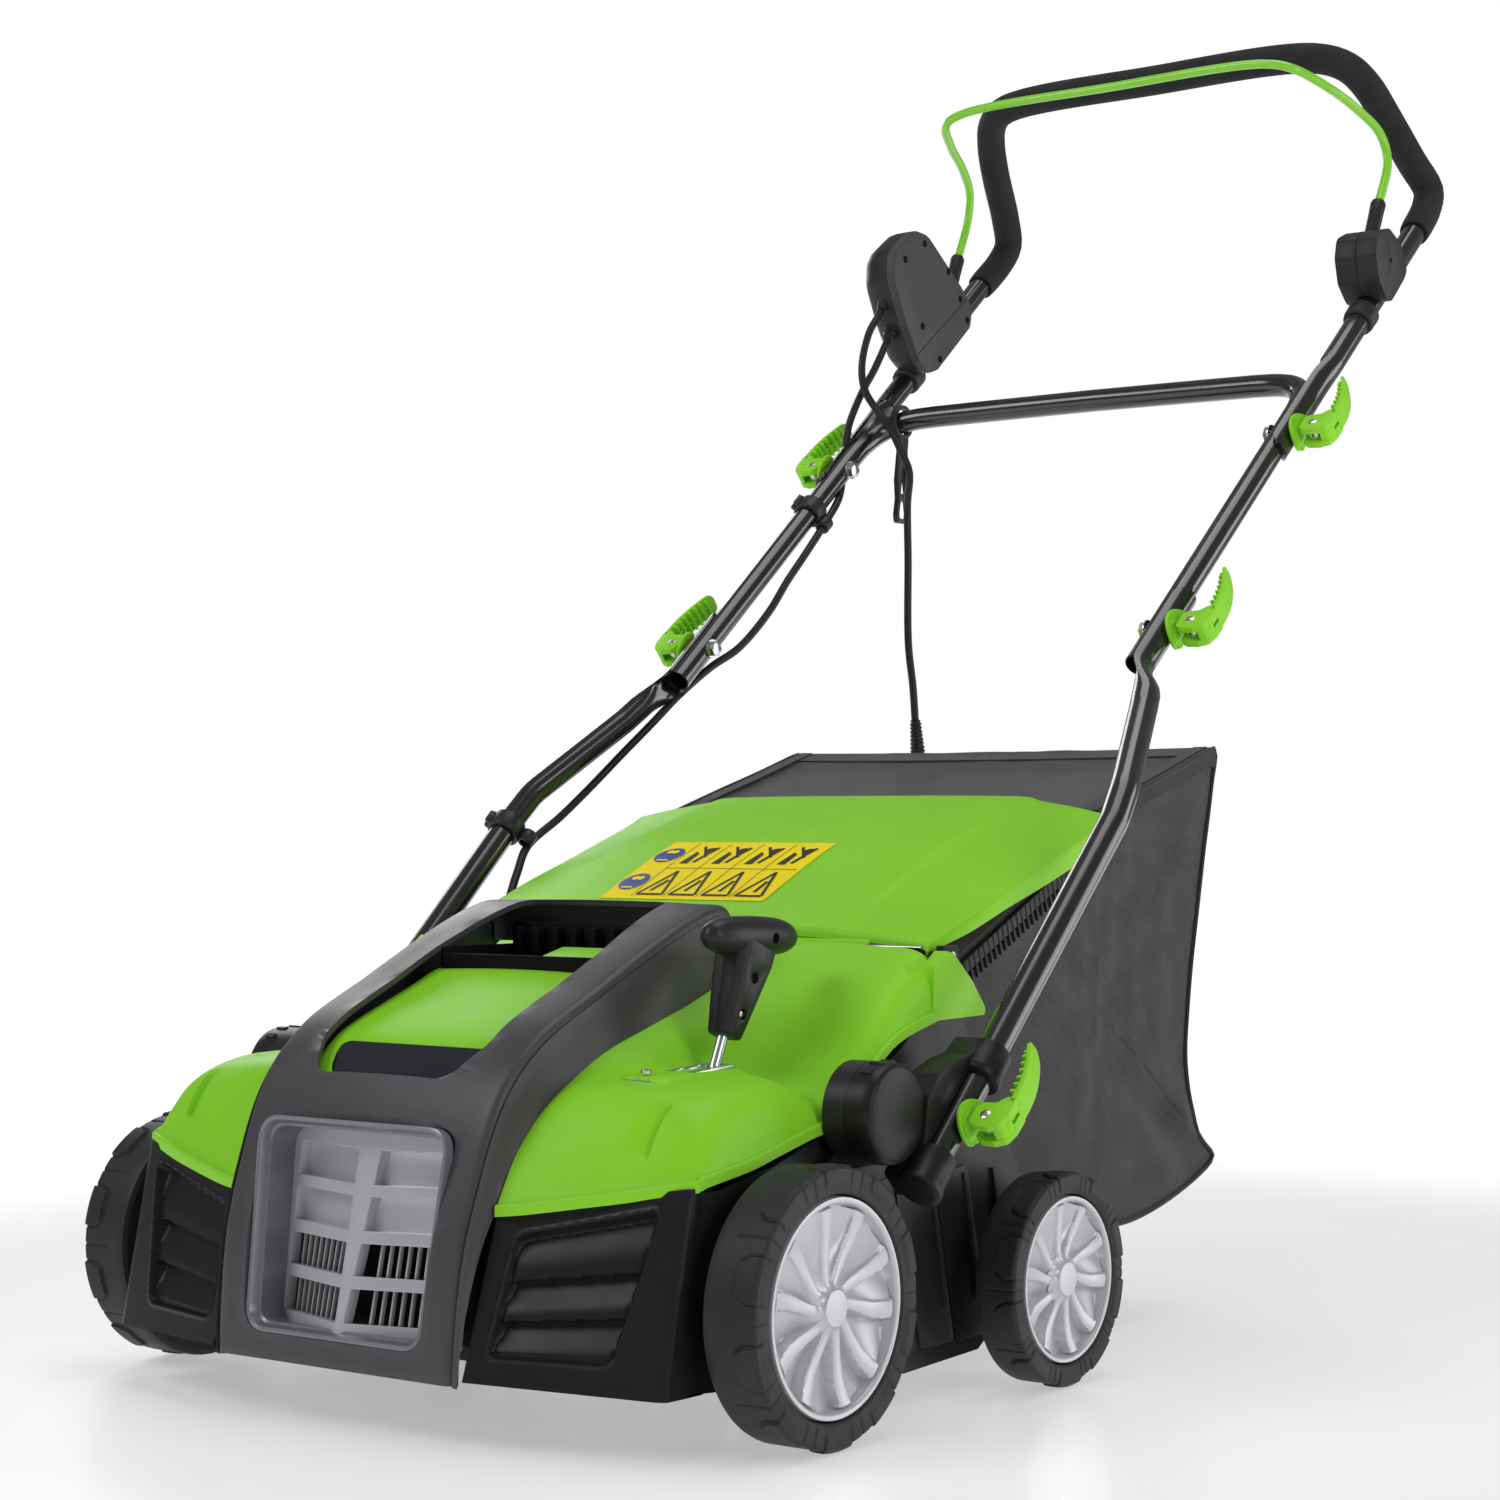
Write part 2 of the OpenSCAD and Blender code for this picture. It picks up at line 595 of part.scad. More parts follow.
module middle_frame() color([0.06, 0.06, 0.07]) machine() difference() {
    union() {
        both_sides() rod(frame_path[0], frame_path[1], frame_r);
        swept(looped([for (i = [1:4]) i == 1 ? frame_path[1] - 8 * [0, frame_way.x,
            frame_way.y] : frame_path[i]]), frame_r - 0.1, 14);
    }
    swept(looped([for (i = [1:4]) i == 1 ? frame_path[1] - 10 * [0, frame_way.x,
        frame_way.y] : frame_path[i]]), frame_r - 0.1 - tube_wall, 14);
    both_sides() {
        rod(frame_path[0] - [0, 1, 1], frame_path[1], frame_r - tube_wall);
        bar(210, 250, lower_bolt_at, 3.96 + bore_slack);
        bar(210, 250, upper_bolt_at, 3.96 + bore_slack);
    }
}

module upper_handle() color([0.06, 0.06, 0.07]) machine() difference() {
    union() {
        swept(looped([for (i = [1:9]) i == 1 ? handle_path[1] - [0, 8, 7] :
            handle_path[i]]), handle_r - 0.1, 14);
        both_sides() {
            rod(handle_path[0], handle_path[1], handle_r);
            rod([244, 632, 774], handle_path[0] + [0, 8, 7], 5.5);
            pressed_end(upper_bolt_at, frame_way, 28, 90);
        }
    }
    swept(looped([for (i = [1:9]) i == 1 ? handle_path[1] - [0, 10, 8.7] :
        handle_path[i]]), handle_r - 0.1 - tube_wall, 14);
    both_sides() {
        rod(handle_path[0] + [0, 12, 10], handle_path[1], handle_r - tube_wall);
        bar(230, 250, upper_bolt_at, 4.02);
    }
}

module foam_grip() color([0.08, 0.08, 0.08]) machine() difference() {
    swept(looped([for (i = [1:9]) i == 1 ? handle_path[1] + [0, 4, 3.6] :
        handle_path[i]]), foam_r, 14);
    swept(looped([for (i = [1:9]) i == 1 ? handle_path[1] - [0, 8, 7] :
        handle_path[i]]), handle_r + 0.05, 14);
}

// ---- Cam clamps ----

// A clamp bolt: a hexagon head inside and an eye for the lever's cam outside
module clamp_bolt(at, head_x, eye_x) {
    bar(head_x, eye_x, at, 3.96);
    translate([head_x - 5, at.x, at.y]) rotate([0, 90, 0])
        cylinder(r = 7.5, h = 5.5, $fn = 6);
    translate([eye_x, at.x, at.y]) rotate([clamp_slope, 0, 0]) {
        translate([0, 0, -3.9]) cylinder(r = 7, h = 7.8);
        translate([0, 0, -10]) cylinder(r = 4, h = 20);
    }
}

// Green flange between a tube and the cam
module saddle(at, x) difference() {
    bar(x, x + 3.5, at, 16);
    bar(x - 1, x + 5, at, 4.02);
}

// A cam lever round the bolt's eye, which lies up along the tube when it is locked
module cam_lever(side, at, x) color([0.48, 0.83, 0.17]) machine() on_side(side)
    translate([x, at.x, at.y]) rotate([clamp_slope, 0, 0]) difference() {
        translate([0, 0, -9]) linear_extrude(18) polygon([[-9.5, -7], [-6, -10],
            [2, -11.8], [9, -8], [13.5, 0], [16.5, 12], [17.6, 24], [17.3, 36], [15.5, 49],
            [12.5, 62], [9.5, 76], [5.5, 75], [8, 60], [10.6, 47], [12, 35], [11.6, 23],
            [5, 13], [-6, 10], [-9.5, 7]]);
        translate([0, 0, -10]) cylinder(r = 4 + bore_slack, h = 20);
        translate([-12, -16, -4.2]) cube([22, 26, 8.4]);
    }

module leg_clamp_bolts() color([0.75, 0.75, 0.78]) machine() both_sides() {
    clamp_bolt(deck_bolt_at, 266, deck_eye_x);
    clamp_bolt(lower_bolt_at, 217, eye_x);
}
module handle_clamp_bolts() color([0.75, 0.75, 0.78]) machine()
    both_sides() clamp_bolt(upper_bolt_at, 217, eye_x);
module leg_saddles() color([0.48, 0.83, 0.17]) machine() both_sides() {
    saddle(deck_bolt_at, 303.2);
    saddle(lower_bolt_at, 242);
}
module handle_saddles() color([0.48, 0.83, 0.17]) machine()
    both_sides() saddle(upper_bolt_at, 242);
module left_deck_cam_lever() cam_lever(1, deck_bolt_at, deck_eye_x);
module right_deck_cam_lever() cam_lever(-1, deck_bolt_at, deck_eye_x);
module left_lower_cam_lever() cam_lever(1, lower_bolt_at, eye_x);
module right_lower_cam_lever() cam_lever(-1, lower_bolt_at, eye_x);
module left_upper_cam_lever() cam_lever(1, upper_bolt_at, eye_x);
module right_upper_cam_lever() cam_lever(-1, upper_bolt_at, eye_x);

// ---- Switch box, bail and housings ----

box_outline = [[660, 958], [678, 956], [708, 938], [739, 915], [757, 897], [756, 878],
    [698, 829], [682, 824], [666, 834], [644, 866], [625, 905], [624, 928], [638, 948]];

// Room for the bail's socket over its whole travel
module bail_slot() slab(216, 231.5) {
    polygon([[727, 885], [745, 985], [815, 955], [742, 878]]);
    translate(bail_at) circle(r = 6.4);
}

module switch_box() color([0.16, 0.16, 0.17]) machine() {
    bar(-249, -215, bail_at, 3);
    difference() {
        union() {
            slab(-250, -214) polygon(box_outline);
            rod([-226, 652, 869], [-226, 643, 853], 8);
            rod([-226, 640, 901], [-226, 636, 890], 6);
        }
        slab(-247, -213)
            polygon([for (p = box_outline) [690, 892] + 0.9 * (p - [690, 892])]);
        rod([-234, 600, 748.5], [-234, 800, 915.2], handle_r + 0.02);
        mirror([1, 0, 0]) bail_slot();
        bar(-251, -246, button_at, 8 + bore_slack);
        swept(supply_route, 3.7);
    }
}

module switch_lid() color([0.3, 0.3, 0.32]) machine() difference() {
    slab(-213.9, -205) polygon(box_outline);
    for (p = [[652, 936], [672, 948], [636, 900], [664, 850], [724, 908], [748, 884],
        [690, 838]]) bar(-207, -200, p, 3);
}

module start_button() color([0.45, 0.1, 0.08]) machine() bar(-256, -240, button_at, 8);

module pivot_housing() color([0.16, 0.16, 0.17]) machine() {
    bar(215, 235, bail_at, 3);
    difference() {
        slab(214, 254) polygon([[703, 911], [729, 915], [745, 906], [757, 888],
            [752, 876], [722, 848], [700, 868], [697, 890]]);
        rod([234, 600, 748.5], [234, 800, 915.2], handle_r + 0.02);
        bail_slot();
    }
}

module bail_rod() color([0.48, 0.83, 0.17]) machine() {
    swept(looped([for (i = [1:8]) bail_path[i]]), bail_r, 10);
    // Sockets that turn in the two housings
    both_sides() difference() {
        union() {
            rod([223, 736.2, 888], [224.8, 761, 945], 6);
            bar(219.5, 226.3, bail_at, 6);
        }
        bar(210, 240, bail_at, 3 + bore_slack);
    }
}

// ---- Grass bag ----

module bag_shell() color([0.1, 0.1, 0.11]) machine() difference() {
    slab(-211, 211) polygon(bag_side);
    slab(-208, 208) polygon(bag_hollow);
}

module bag_clips() color([0.35, 0.35, 0.37]) machine() both_sides()
    slab(211.2, 215) polygon([[66, 272], [282, 372], [280, 384], [64, 284]]);

// ---- Cord hook, clips and cables ----

module cord_hook() color([0.12, 0.12, 0.13]) machine() {
    translate([-206, 634, 0]) {
        difference() {
            translate([0, -1.4, 771.8]) rotate([0, 90, 0]) cylinder(r = 16, h = 6);
            translate([-1, -1.4, 771.8]) rotate([0, 90, 0]) cylinder(r = 12.5, h = 8);
        }
        difference() {
            translate([0, -12, 676]) cube([6, 20, 84]);
            translate([-1, -8, 690]) cube([8, 12, 40]);
            translate([-1, -1.4, 771.8]) rotate([0, 90, 0]) cylinder(r = 12.5, h = 8);
        }
    }
}

// A clip round a tube with a second ring for the cable
module cable_clip(at, way, tube_r, cable_at) difference() {
    union() {
        rod(at - 8 * way, at + 8 * way, tube_r + 3.5);
        rod(cable_at - 8 * way, cable_at + 8 * way, 7);
    }
    rod(at - 9 * way, at + 9 * way, tube_r + 0.02);
    rod(cable_at - 9 * way, cable_at + 9 * way, 4.6);
}

frame_lean = [0, frame_way.x, frame_way.y];
leg_lean = unit(leg_path[1] - leg_path[0]);
module upper_cable_clip() color([0.12, 0.12, 0.13]) machine()
    cable_clip([-228, 520, 680.1], frame_lean, frame_r, [-216, 525, 667.5]);
module lower_cable_clip() color([0.12, 0.12, 0.13]) machine()
    cable_clip([-292, 173.8, 390.1], leg_lean, leg_r, [-276, 182, 381]);

module cable(route) color([0.06, 0.06, 0.06]) machine() swept(route, 3.5);
module motor_cable_upper() cable(upper_route);
module motor_cable_middle() cable(middle_route);
module motor_cable_lower() cable(lower_route);
module supply_cord() cable(supply_route);

// Socket end on the supply cord, with its strain relief
module supply_plug() color([0.08, 0.08, 0.08]) machine() {
    rod([-170, 606, 485.9], [-168, 608, 449], 7);
    translate([-186, 596, 402]) cube([34, 24, 48.5]);
}

deck_shell();
bumpers();
top_cover();
front_hood();
grille();
hood_panel();
badge_plate();
lever_plate();
deck_fasteners();
motor_can();
motor_shaft();
drive_belt();
reel_shaft();
tine_holders();
spring_tines();
reel_bearings();
front_axle();
rear_axle();
front_left_wheel();
front_right_wheel();
rear_left_wheel();
rear_right_wheel();
front_left_hub_cap();
front_right_hub_cap();
rear_left_hub_cap();
rear_right_hub_cap();
lever_grip();
rear_flap();
flap_rod();
flap_spring();
leg_brackets();
lower_legs();
middle_frame();
upper_handle();
foam_grip();
leg_clamp_bolts();
handle_clamp_bolts();
leg_saddles();
handle_saddles();
left_deck_cam_lever();
right_deck_cam_lever();
left_lower_cam_lever();
right_lower_cam_lever();
left_upper_cam_lever();
right_upper_cam_lever();
switch_box();
switch_lid();
start_button();
pivot_housing();
bail_rod();
bag_shell();
bag_clips();
cord_hook();
upper_cable_clip();
lower_cable_clip();
motor_cable_upper();
motor_cable_middle();
motor_cable_lower();
supply_cord();
supply_plug();
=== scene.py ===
import math

import bmesh
import bpy
from mathutils import Matrix, Vector, noise


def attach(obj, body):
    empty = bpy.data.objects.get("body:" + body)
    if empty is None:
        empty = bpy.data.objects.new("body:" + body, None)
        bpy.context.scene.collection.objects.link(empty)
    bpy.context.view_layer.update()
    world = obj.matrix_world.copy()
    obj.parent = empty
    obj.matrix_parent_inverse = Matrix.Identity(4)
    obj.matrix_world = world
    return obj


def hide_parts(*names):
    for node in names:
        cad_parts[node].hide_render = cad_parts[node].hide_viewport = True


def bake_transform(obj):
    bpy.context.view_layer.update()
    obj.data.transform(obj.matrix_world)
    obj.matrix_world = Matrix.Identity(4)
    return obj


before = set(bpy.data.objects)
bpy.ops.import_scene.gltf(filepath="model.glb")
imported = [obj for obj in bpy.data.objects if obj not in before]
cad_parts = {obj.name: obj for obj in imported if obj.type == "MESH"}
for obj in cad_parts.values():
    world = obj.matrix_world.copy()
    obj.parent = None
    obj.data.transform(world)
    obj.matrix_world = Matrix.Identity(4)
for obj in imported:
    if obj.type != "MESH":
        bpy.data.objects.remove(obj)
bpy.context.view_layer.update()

# All shapes are drawn in millimetres in the machine's own axes, whose zero lies MID_Y
# millimetres in front of the middle of the whole object.
MID_Y = 274.0


def metres(p):
    return Vector((p[0], p[1] - MID_Y, p[2])) / 1000.0


# ---------------------------------------------------------------- materials

TONE_SPAN = (0.3, 0.7)          # the middle of a noise texture's values
EDGE_SPAN = (0.53, 0.62)        # pointiness of edges that stand out and get rubbed


def new_material(name):
    mat = bpy.data.materials.new(name)
    mat.use_nodes = True
    nodes, links = mat.node_tree.nodes, mat.node_tree.links
    return mat, nodes, links, nodes["Principled BSDF"]


def add_node(nodes, links, kind, operation=None, **inputs):
    """A shader node; an input is set to a value or linked from another node's output."""
    node = nodes.new(kind)
    if operation:
        node.operation = operation
    for name, value in inputs.items():
        socket = node.inputs[int(name[1:]) if name[1:].isdigit() else name.replace("_", " ")]
        if isinstance(value, bpy.types.NodeSocket):
            links.new(value, socket)
        else:
            socket.default_value = value
    return node


def two_tone(nodes, links, colour, darker, lighter, scale, detail, roughness=0.5, vector=None):
    """A colour that wanders between a darker and a lighter one, in soft clouds."""
    clouds = add_node(nodes, links, "ShaderNodeTexNoise", Scale=scale, Detail=detail,
                      Roughness=roughness)
    if vector is not None:
        links.new(vector, clouds.inputs["Vector"])
    ramp = add_node(nodes, links, "ShaderNodeValToRGB", Fac=clouds.outputs["Fac"])
    for element, place, tone in zip(ramp.color_ramp.elements, TONE_SPAN, (darker, lighter)):
        element.position = place
        element.color = [min(1, c * tone) for c in colour] + [1]
    return ramp.outputs["Color"]


def add_bump(nodes, links, shader, height, strength, distance):
    bump = add_node(nodes, links, "ShaderNodeBump", Strength=strength, Distance=distance,
                    Height=height)
    links.new(bump.outputs["Normal"], shader.inputs["Normal"])


def surface(name, colour, rough, metal=0.0, grain=900.0, grain_bump=0.10, mottle=0.06,
            wear=0.0, wear_colour=(0.5, 0.5, 0.5), rough_spread=0.10, coat=0.0,
            sheen=0.0, specular=0.5, distance=0.0004):
    """A pigmented surface: mottled colour, uneven gloss, moulded grain and rubbed edges."""
    mat, nodes, links, shader = new_material(name)
    place = nodes.new("ShaderNodeTexCoord").outputs["Object"]

    def cloud(scale, detail, roughness=0.55):
        return add_node(nodes, links, "ShaderNodeTexNoise", Scale=scale, Detail=detail,
                        Roughness=roughness, Vector=place).outputs["Fac"]

    colour_out = two_tone(nodes, links, colour, 1 - mottle, 1 + mottle, 9.0, 3.0, 0.55, place)
    if wear:
        edge = nodes.new("ShaderNodeNewGeometry").outputs["Pointiness"]
        pick = add_node(nodes, links, "ShaderNodeMapRange", From_Min=EDGE_SPAN[0],
                        From_Max=EDGE_SPAN[1], To_Max=wear, Value=edge)
        patch = add_node(nodes, links, "ShaderNodeMath", "MULTIPLY",
                         _0=pick.outputs["Result"], _1=cloud(60.0, 4.0, 0.7))
        blend = nodes.new("ShaderNodeMix")
        blend.data_type = "RGBA"
        links.new(patch.outputs["Value"], blend.inputs["Factor"])
        links.new(colour_out, blend.inputs["A"])
        blend.inputs["B"].default_value = list(wear_colour) + [1]
        colour_out = blend.outputs["Result"]
    links.new(colour_out, shader.inputs["Base Color"])
    gloss = add_node(nodes, links, "ShaderNodeMapRange", From_Min=TONE_SPAN[0],
                     From_Max=TONE_SPAN[1], To_Min=max(0.03, rough * (1 - rough_spread)),
                     To_Max=min(1, rough * (1 + rough_spread)), Value=cloud(34.0, 5.0))
    links.new(gloss.outputs["Result"], shader.inputs["Roughness"])
    add_bump(nodes, links, shader, cloud(grain, 2.0), grain_bump, distance)
    for name, value in (("Metallic", metal), ("Coat Weight", coat), ("Coat Roughness", 0.12),
                        ("Sheen Weight", sheen), ("Specular IOR Level", specular)):
        shader.inputs[name].default_value = value
    return mat


GREEN = surface("lime_plastic", (0.262, 0.690, 0.020), 0.46, grain=700, grain_bump=0.05,
                mottle=0.035, wear=0.25, wear_colour=(0.42, 0.78, 0.12), specular=0.22)
HOOD = surface("hood_plastic", (0.062, 0.055, 0.064), 0.40, grain=1100, grain_bump=0.10,
               mottle=0.07, wear=0.3, wear_colour=(0.14, 0.13, 0.145), specular=0.35)
BLACK = surface("deck_plastic", (0.013, 0.012, 0.013), 0.38, grain=1000, grain_bump=0.12,
                mottle=0.10, wear=0.3, wear_colour=(0.07, 0.07, 0.075), specular=0.22)
SILVER = surface("silver_plastic", (0.58, 0.565, 0.60), 0.34, metal=0.3, grain=1200,
                 grain_bump=0.06, mottle=0.04, wear=0.2, wear_colour=(0.6, 0.59, 0.62))
# A darker copy of the silver plastic, which paints the shade on the grille's rim and reveal
SHADED_SILVER = surface("silver_painted_shade", (0.20, 0.19, 0.215), 0.30, metal=0.3, grain=1200,
                       grain_bump=0.06, mottle=0.04, wear=0.2,
                       wear_colour=(0.5, 0.5, 0.53))
TREAD = surface("tread_plastic", (0.026, 0.026, 0.028), 0.52, grain=800, grain_bump=0.16,
                mottle=0.16, wear=0.45, wear_colour=(0.13, 0.125, 0.12), specular=0.25)
GRIP = surface("grip_plastic", (0.020, 0.019, 0.021), 0.38, grain=1000, grain_bump=0.12,
               mottle=0.10, wear=0.3, wear_colour=(0.07, 0.07, 0.075), specular=0.3)
SWITCH = surface("switch_plastic", (0.022, 0.020, 0.023), 0.42, grain=1300,
                 grain_bump=0.16, mottle=0.08, wear=0.25, wear_colour=(0.09, 0.09, 0.1),
                 specular=0.22)
TUBE = surface("tube_paint", (0.008, 0.008, 0.009), 0.20, grain=420, grain_bump=0.025,
               mottle=0.10, coat=0.6, rough_spread=0.2, specular=0.6)
FOAM = surface("foam", (0.017, 0.017, 0.018), 0.80, grain=520, grain_bump=0.5,
               mottle=0.14, specular=0.3, distance=0.0006)
STEEL = surface("zinc_steel", (0.62, 0.62, 0.63), 0.26, metal=1.0, grain=900,
                grain_bump=0.012, mottle=0.08, rough_spread=0.3)
WIRE = surface("green_wire", (0.22, 0.62, 0.018), 0.30, grain=900, grain_bump=0.03,
               mottle=0.04, coat=0.4)
CABLE = surface("cable_sheath", (0.012, 0.012, 0.013), 0.42, grain=1500, grain_bump=0.10,
                mottle=0.12, specular=0.3)
BELT = surface("belt_rubber", (0.013, 0.013, 0.013), 0.65, grain=600, grain_bump=0.3,
               mottle=0.15)
REEL = surface("reel_paint", (0.014, 0.014, 0.015), 0.33, grain=500, grain_bump=0.08,
               mottle=0.12, wear=0.6, wear_colour=(0.3, 0.3, 0.31), specular=0.3)
CAN = surface("motor_paint", (0.07, 0.07, 0.075), 0.38, metal=0.5, grain=500,
              grain_bump=0.08, mottle=0.10)
RED = surface("button_plastic", (0.42, 0.02, 0.014), 0.28, grain=900, grain_bump=0.04,
              mottle=0.05)
BADGE = surface("badge", (0.006, 0.0065, 0.018), 0.16, grain=800, grain_bump=0.02,
                mottle=0.10, coat=0.5, specular=0.3)
# Near-black that paints the shade in the hood's well, under the plate's slot, in the hinge slot
# and behind the grille
SHADE_BLACK = surface("painted_shade_black", (0.004, 0.004, 0.004), 0.60, grain=700, grain_bump=0.1,
               mottle=0.1, specular=0.1)
LABEL = surface("label_film", (1.0, 0.78, 0.004), 0.55, grain=600, grain_bump=0.02,
                mottle=0.03, specular=0.12)
INK = surface("label_ink", (0.03, 0.03, 0.03), 0.4, grain=600, grain_bump=0.02,
              mottle=0.05, specular=0.1)
BLUE = surface("label_blue", (0.02, 0.06, 0.32), 0.36, grain=600, grain_bump=0.02,
               mottle=0.05, specular=0.12)


def net(name, colour, thread, rough, fill):
    """Knitted mesh cloth: fine threads both ways, with holes between them."""
    mat, nodes, links, shader = new_material(name)
    uv = nodes.new("ShaderNodeTexCoord").outputs["UV"]
    split = add_node(nodes, links, "ShaderNodeSeparateXYZ", Vector=uv)

    def wave(axis):
        turn = add_node(nodes, links, "ShaderNodeMath", "MULTIPLY", _0=split.outputs[axis],
                        _1=math.pi / thread)
        sine = add_node(nodes, links, "ShaderNodeMath", "SINE", _0=turn.outputs["Value"])
        return add_node(nodes, links, "ShaderNodeMath", "ABSOLUTE",
                        _0=sine.outputs["Value"]).outputs["Value"]

    weave = add_node(nodes, links, "ShaderNodeMath", "MAXIMUM", _0=wave("X"),
                     _1=wave("Y")).outputs["Value"]
    links.new(two_tone(nodes, links, colour, 0.75, 1.3, 14.0, 4.0),
              shader.inputs["Base Color"])
    cover = add_node(nodes, links, "ShaderNodeMapRange", From_Min=fill, From_Max=fill + 0.16,
                     To_Min=0.80, To_Max=1.0, Value=weave)
    links.new(cover.outputs["Result"], shader.inputs["Alpha"])
    add_bump(nodes, links, shader, weave, 0.6, 0.0005)
    shader.inputs["Roughness"].default_value = rough
    shader.inputs["Sheen Weight"].default_value = 0.25
    return mat


NET = net("bag_net", (0.012, 0.011, 0.013), 0.0017, 0.75, 0.80)
HEM = surface("bag_hem", (0.014, 0.014, 0.015), 0.85, grain=480, grain_bump=0.5,
              mottle=0.2, sheen=0.2)


# ---------------------------------------------------------------- shapes

class Shape:
    """Vertices in machine millimetres, faces and a material number for each face."""

    def __init__(self):
        self.v, self.f, self.k = [], [], []

    def add(self, v, f, k=0):
        """Adds vertices and faces that have material number k."""
        n = len(self.v)
        self.v += [tuple(p) for p in v]
        self.f += [tuple(i + n for i in q) for q in f]
        self.k += [k] * len(f)
        return self

    def join(self, other):
        n = len(self.v)
        self.v += other.v
        self.f += [tuple(i + n for i in q) for q in other.f]
        self.k += other.k
        return self

    def mirror(self):
        """Adds the same again on the other side of X = 0."""
        n = len(self.v)
        self.f += [tuple(i + n for i in reversed(q)) for q in self.f]
        self.v += [(-x, y, z) for x, y, z in self.v]
        self.k += self.k[:]
        return self

    def flip(self):
        """Moves everything to the other side of X = 0."""
        self.v = [(-x, y, z) for x, y, z in self.v]
        self.f = [tuple(reversed(q)) for q in self.f]
        return self


def circle(r, n):
    """n points of a circle as pairs, from the first axis towards the second."""
    return [(r * math.cos(2 * math.pi * k / n), r * math.sin(2 * math.pi * k / n))
            for k in range(n)]


def turned(x, r, at, n):
    """A ring of n points about the line parallel to X through at, in Y and Z."""
    return [(x, at[0] + a, at[1] + b) for a, b in circle(r, n)]


def loft(rings, closed=True, caps=True):
    """The skin over a row of rings; open rows when not closed, with flat ends as caps."""
    n, m = len(rings[0]), len(rings)
    v = [p for ring in rings for p in ring]
    f = []
    for j in range(m - 1):
        for i in range(n if closed else n - 1):
            a, b = j * n + i, j * n + (i + 1) % n
            f.append((a, b, b + n, a + n))
    if caps and closed:
        f.append(tuple(range(n))[::-1])
        f.append(tuple(range((m - 1) * n, m * n)))
    return v, f


def prism(outline, x0, x1):
    """An outline in Y and Z from x0 to x1."""
    return loft([[(x0, y, z) for y, z in outline], [(x1, y, z) for y, z in outline]])


def rounded(outline, r, n=5):
    """An outline with its corners rounded off; r is one radius or one for each corner."""
    out = []
    count = len(outline)
    for i in range(count):
        p, a, b = (Vector(outline[i]), Vector(outline[i - 1]),
                   Vector(outline[(i + 1) % count]))
        u, w = (a - p), (b - p)
        lu, lw = u.length, w.length
        u, w = u / lu, w / lw
        half = math.acos(max(-0.999, min(0.999, u.dot(w)))) / 2
        ri = r[i] if isinstance(r, (list, tuple)) else r
        cut = min(ri / math.tan(half), 0.48 * lu, 0.48 * lw)
        if cut < 0.05 or half > 1.53:
            out.append(tuple(p))
        else:
            out += [tuple(q) for q in corner_arc(p, u, w, cut, n)]
    return out


def lathe(profile, at, segs=64, x_sign=1):
    """Turns a list of (x, radius) about the line parallel to X through at."""
    v, f = loft([turned(x_sign * x, max(r, 0.01), at, segs) for x, r in profile])
    if x_sign < 0:
        f = [tuple(reversed(q)) for q in f]
    return v, f


def smooth_path(points, step=6.0):
    """Points along a centripetal Catmull-Rom curve through the given ones."""
    pts = [Vector(p) for p in points]
    ext = [2 * pts[0] - pts[1]] + pts + [2 * pts[-1] - pts[-2]]
    out = []
    for i in range(1, len(ext) - 2):
        p0, p1, p2, p3 = ext[i - 1:i + 3]
        t1 = max((p1 - p0).length, 1e-6) ** 0.5
        t2 = t1 + max((p2 - p1).length, 1e-6) ** 0.5
        t3 = t2 + max((p3 - p2).length, 1e-6) ** 0.5
        n = max(1, int(round((p2 - p1).length / step)))
        for k in range(n):
            t = t1 + (t2 - t1) * k / n
            a1 = (t1 - t) / t1 * p0 + t / t1 * p1
            a2 = (t2 - t) / (t2 - t1) * p1 + (t - t1) / (t2 - t1) * p2
            a3 = (t3 - t) / (t3 - t2) * p2 + (t - t2) / (t3 - t2) * p3
            b1 = (t2 - t) / t2 * a1 + t / t2 * a2
            b2 = (t3 - t) / (t3 - t1) * a2 + (t - t1) / (t3 - t1) * a3
            out.append((t2 - t) / (t2 - t1) * b1 + (t - t1) / (t2 - t1) * b2)
    out.append(pts[-1].copy())
    return out


def corner_arc(p, u, w, cut, n):
    """A curve that rounds off the corner p between the directions u and w."""
    start, stop = p + u * cut, p + w * cut
    return [(1 - t) ** 2 * start + 2 * t * (1 - t) * p + t * t * stop
            for t in (k / n for k in range(n + 1))]


def bent_path(points, r, n=8):
    """Straight runs joined by arcs, as a bent tube has."""
    pts = [Vector(p) for p in points]
    out = [pts[0]]
    for i in range(1, len(pts) - 1):
        p, u, w = pts[i], pts[i - 1] - pts[i], pts[i + 1] - pts[i]
        lu, lw = u.length, w.length
        u, w = u / lu, w / lw
        half = math.acos(max(-1, min(1, u.dot(w)))) / 2
        if half > 1.55:
            out.append(p)
        else:
            out += corner_arc(p, u, w, min(r / math.tan(half), 0.49 * lu, 0.49 * lw), n)
    out.append(pts[-1])
    return out


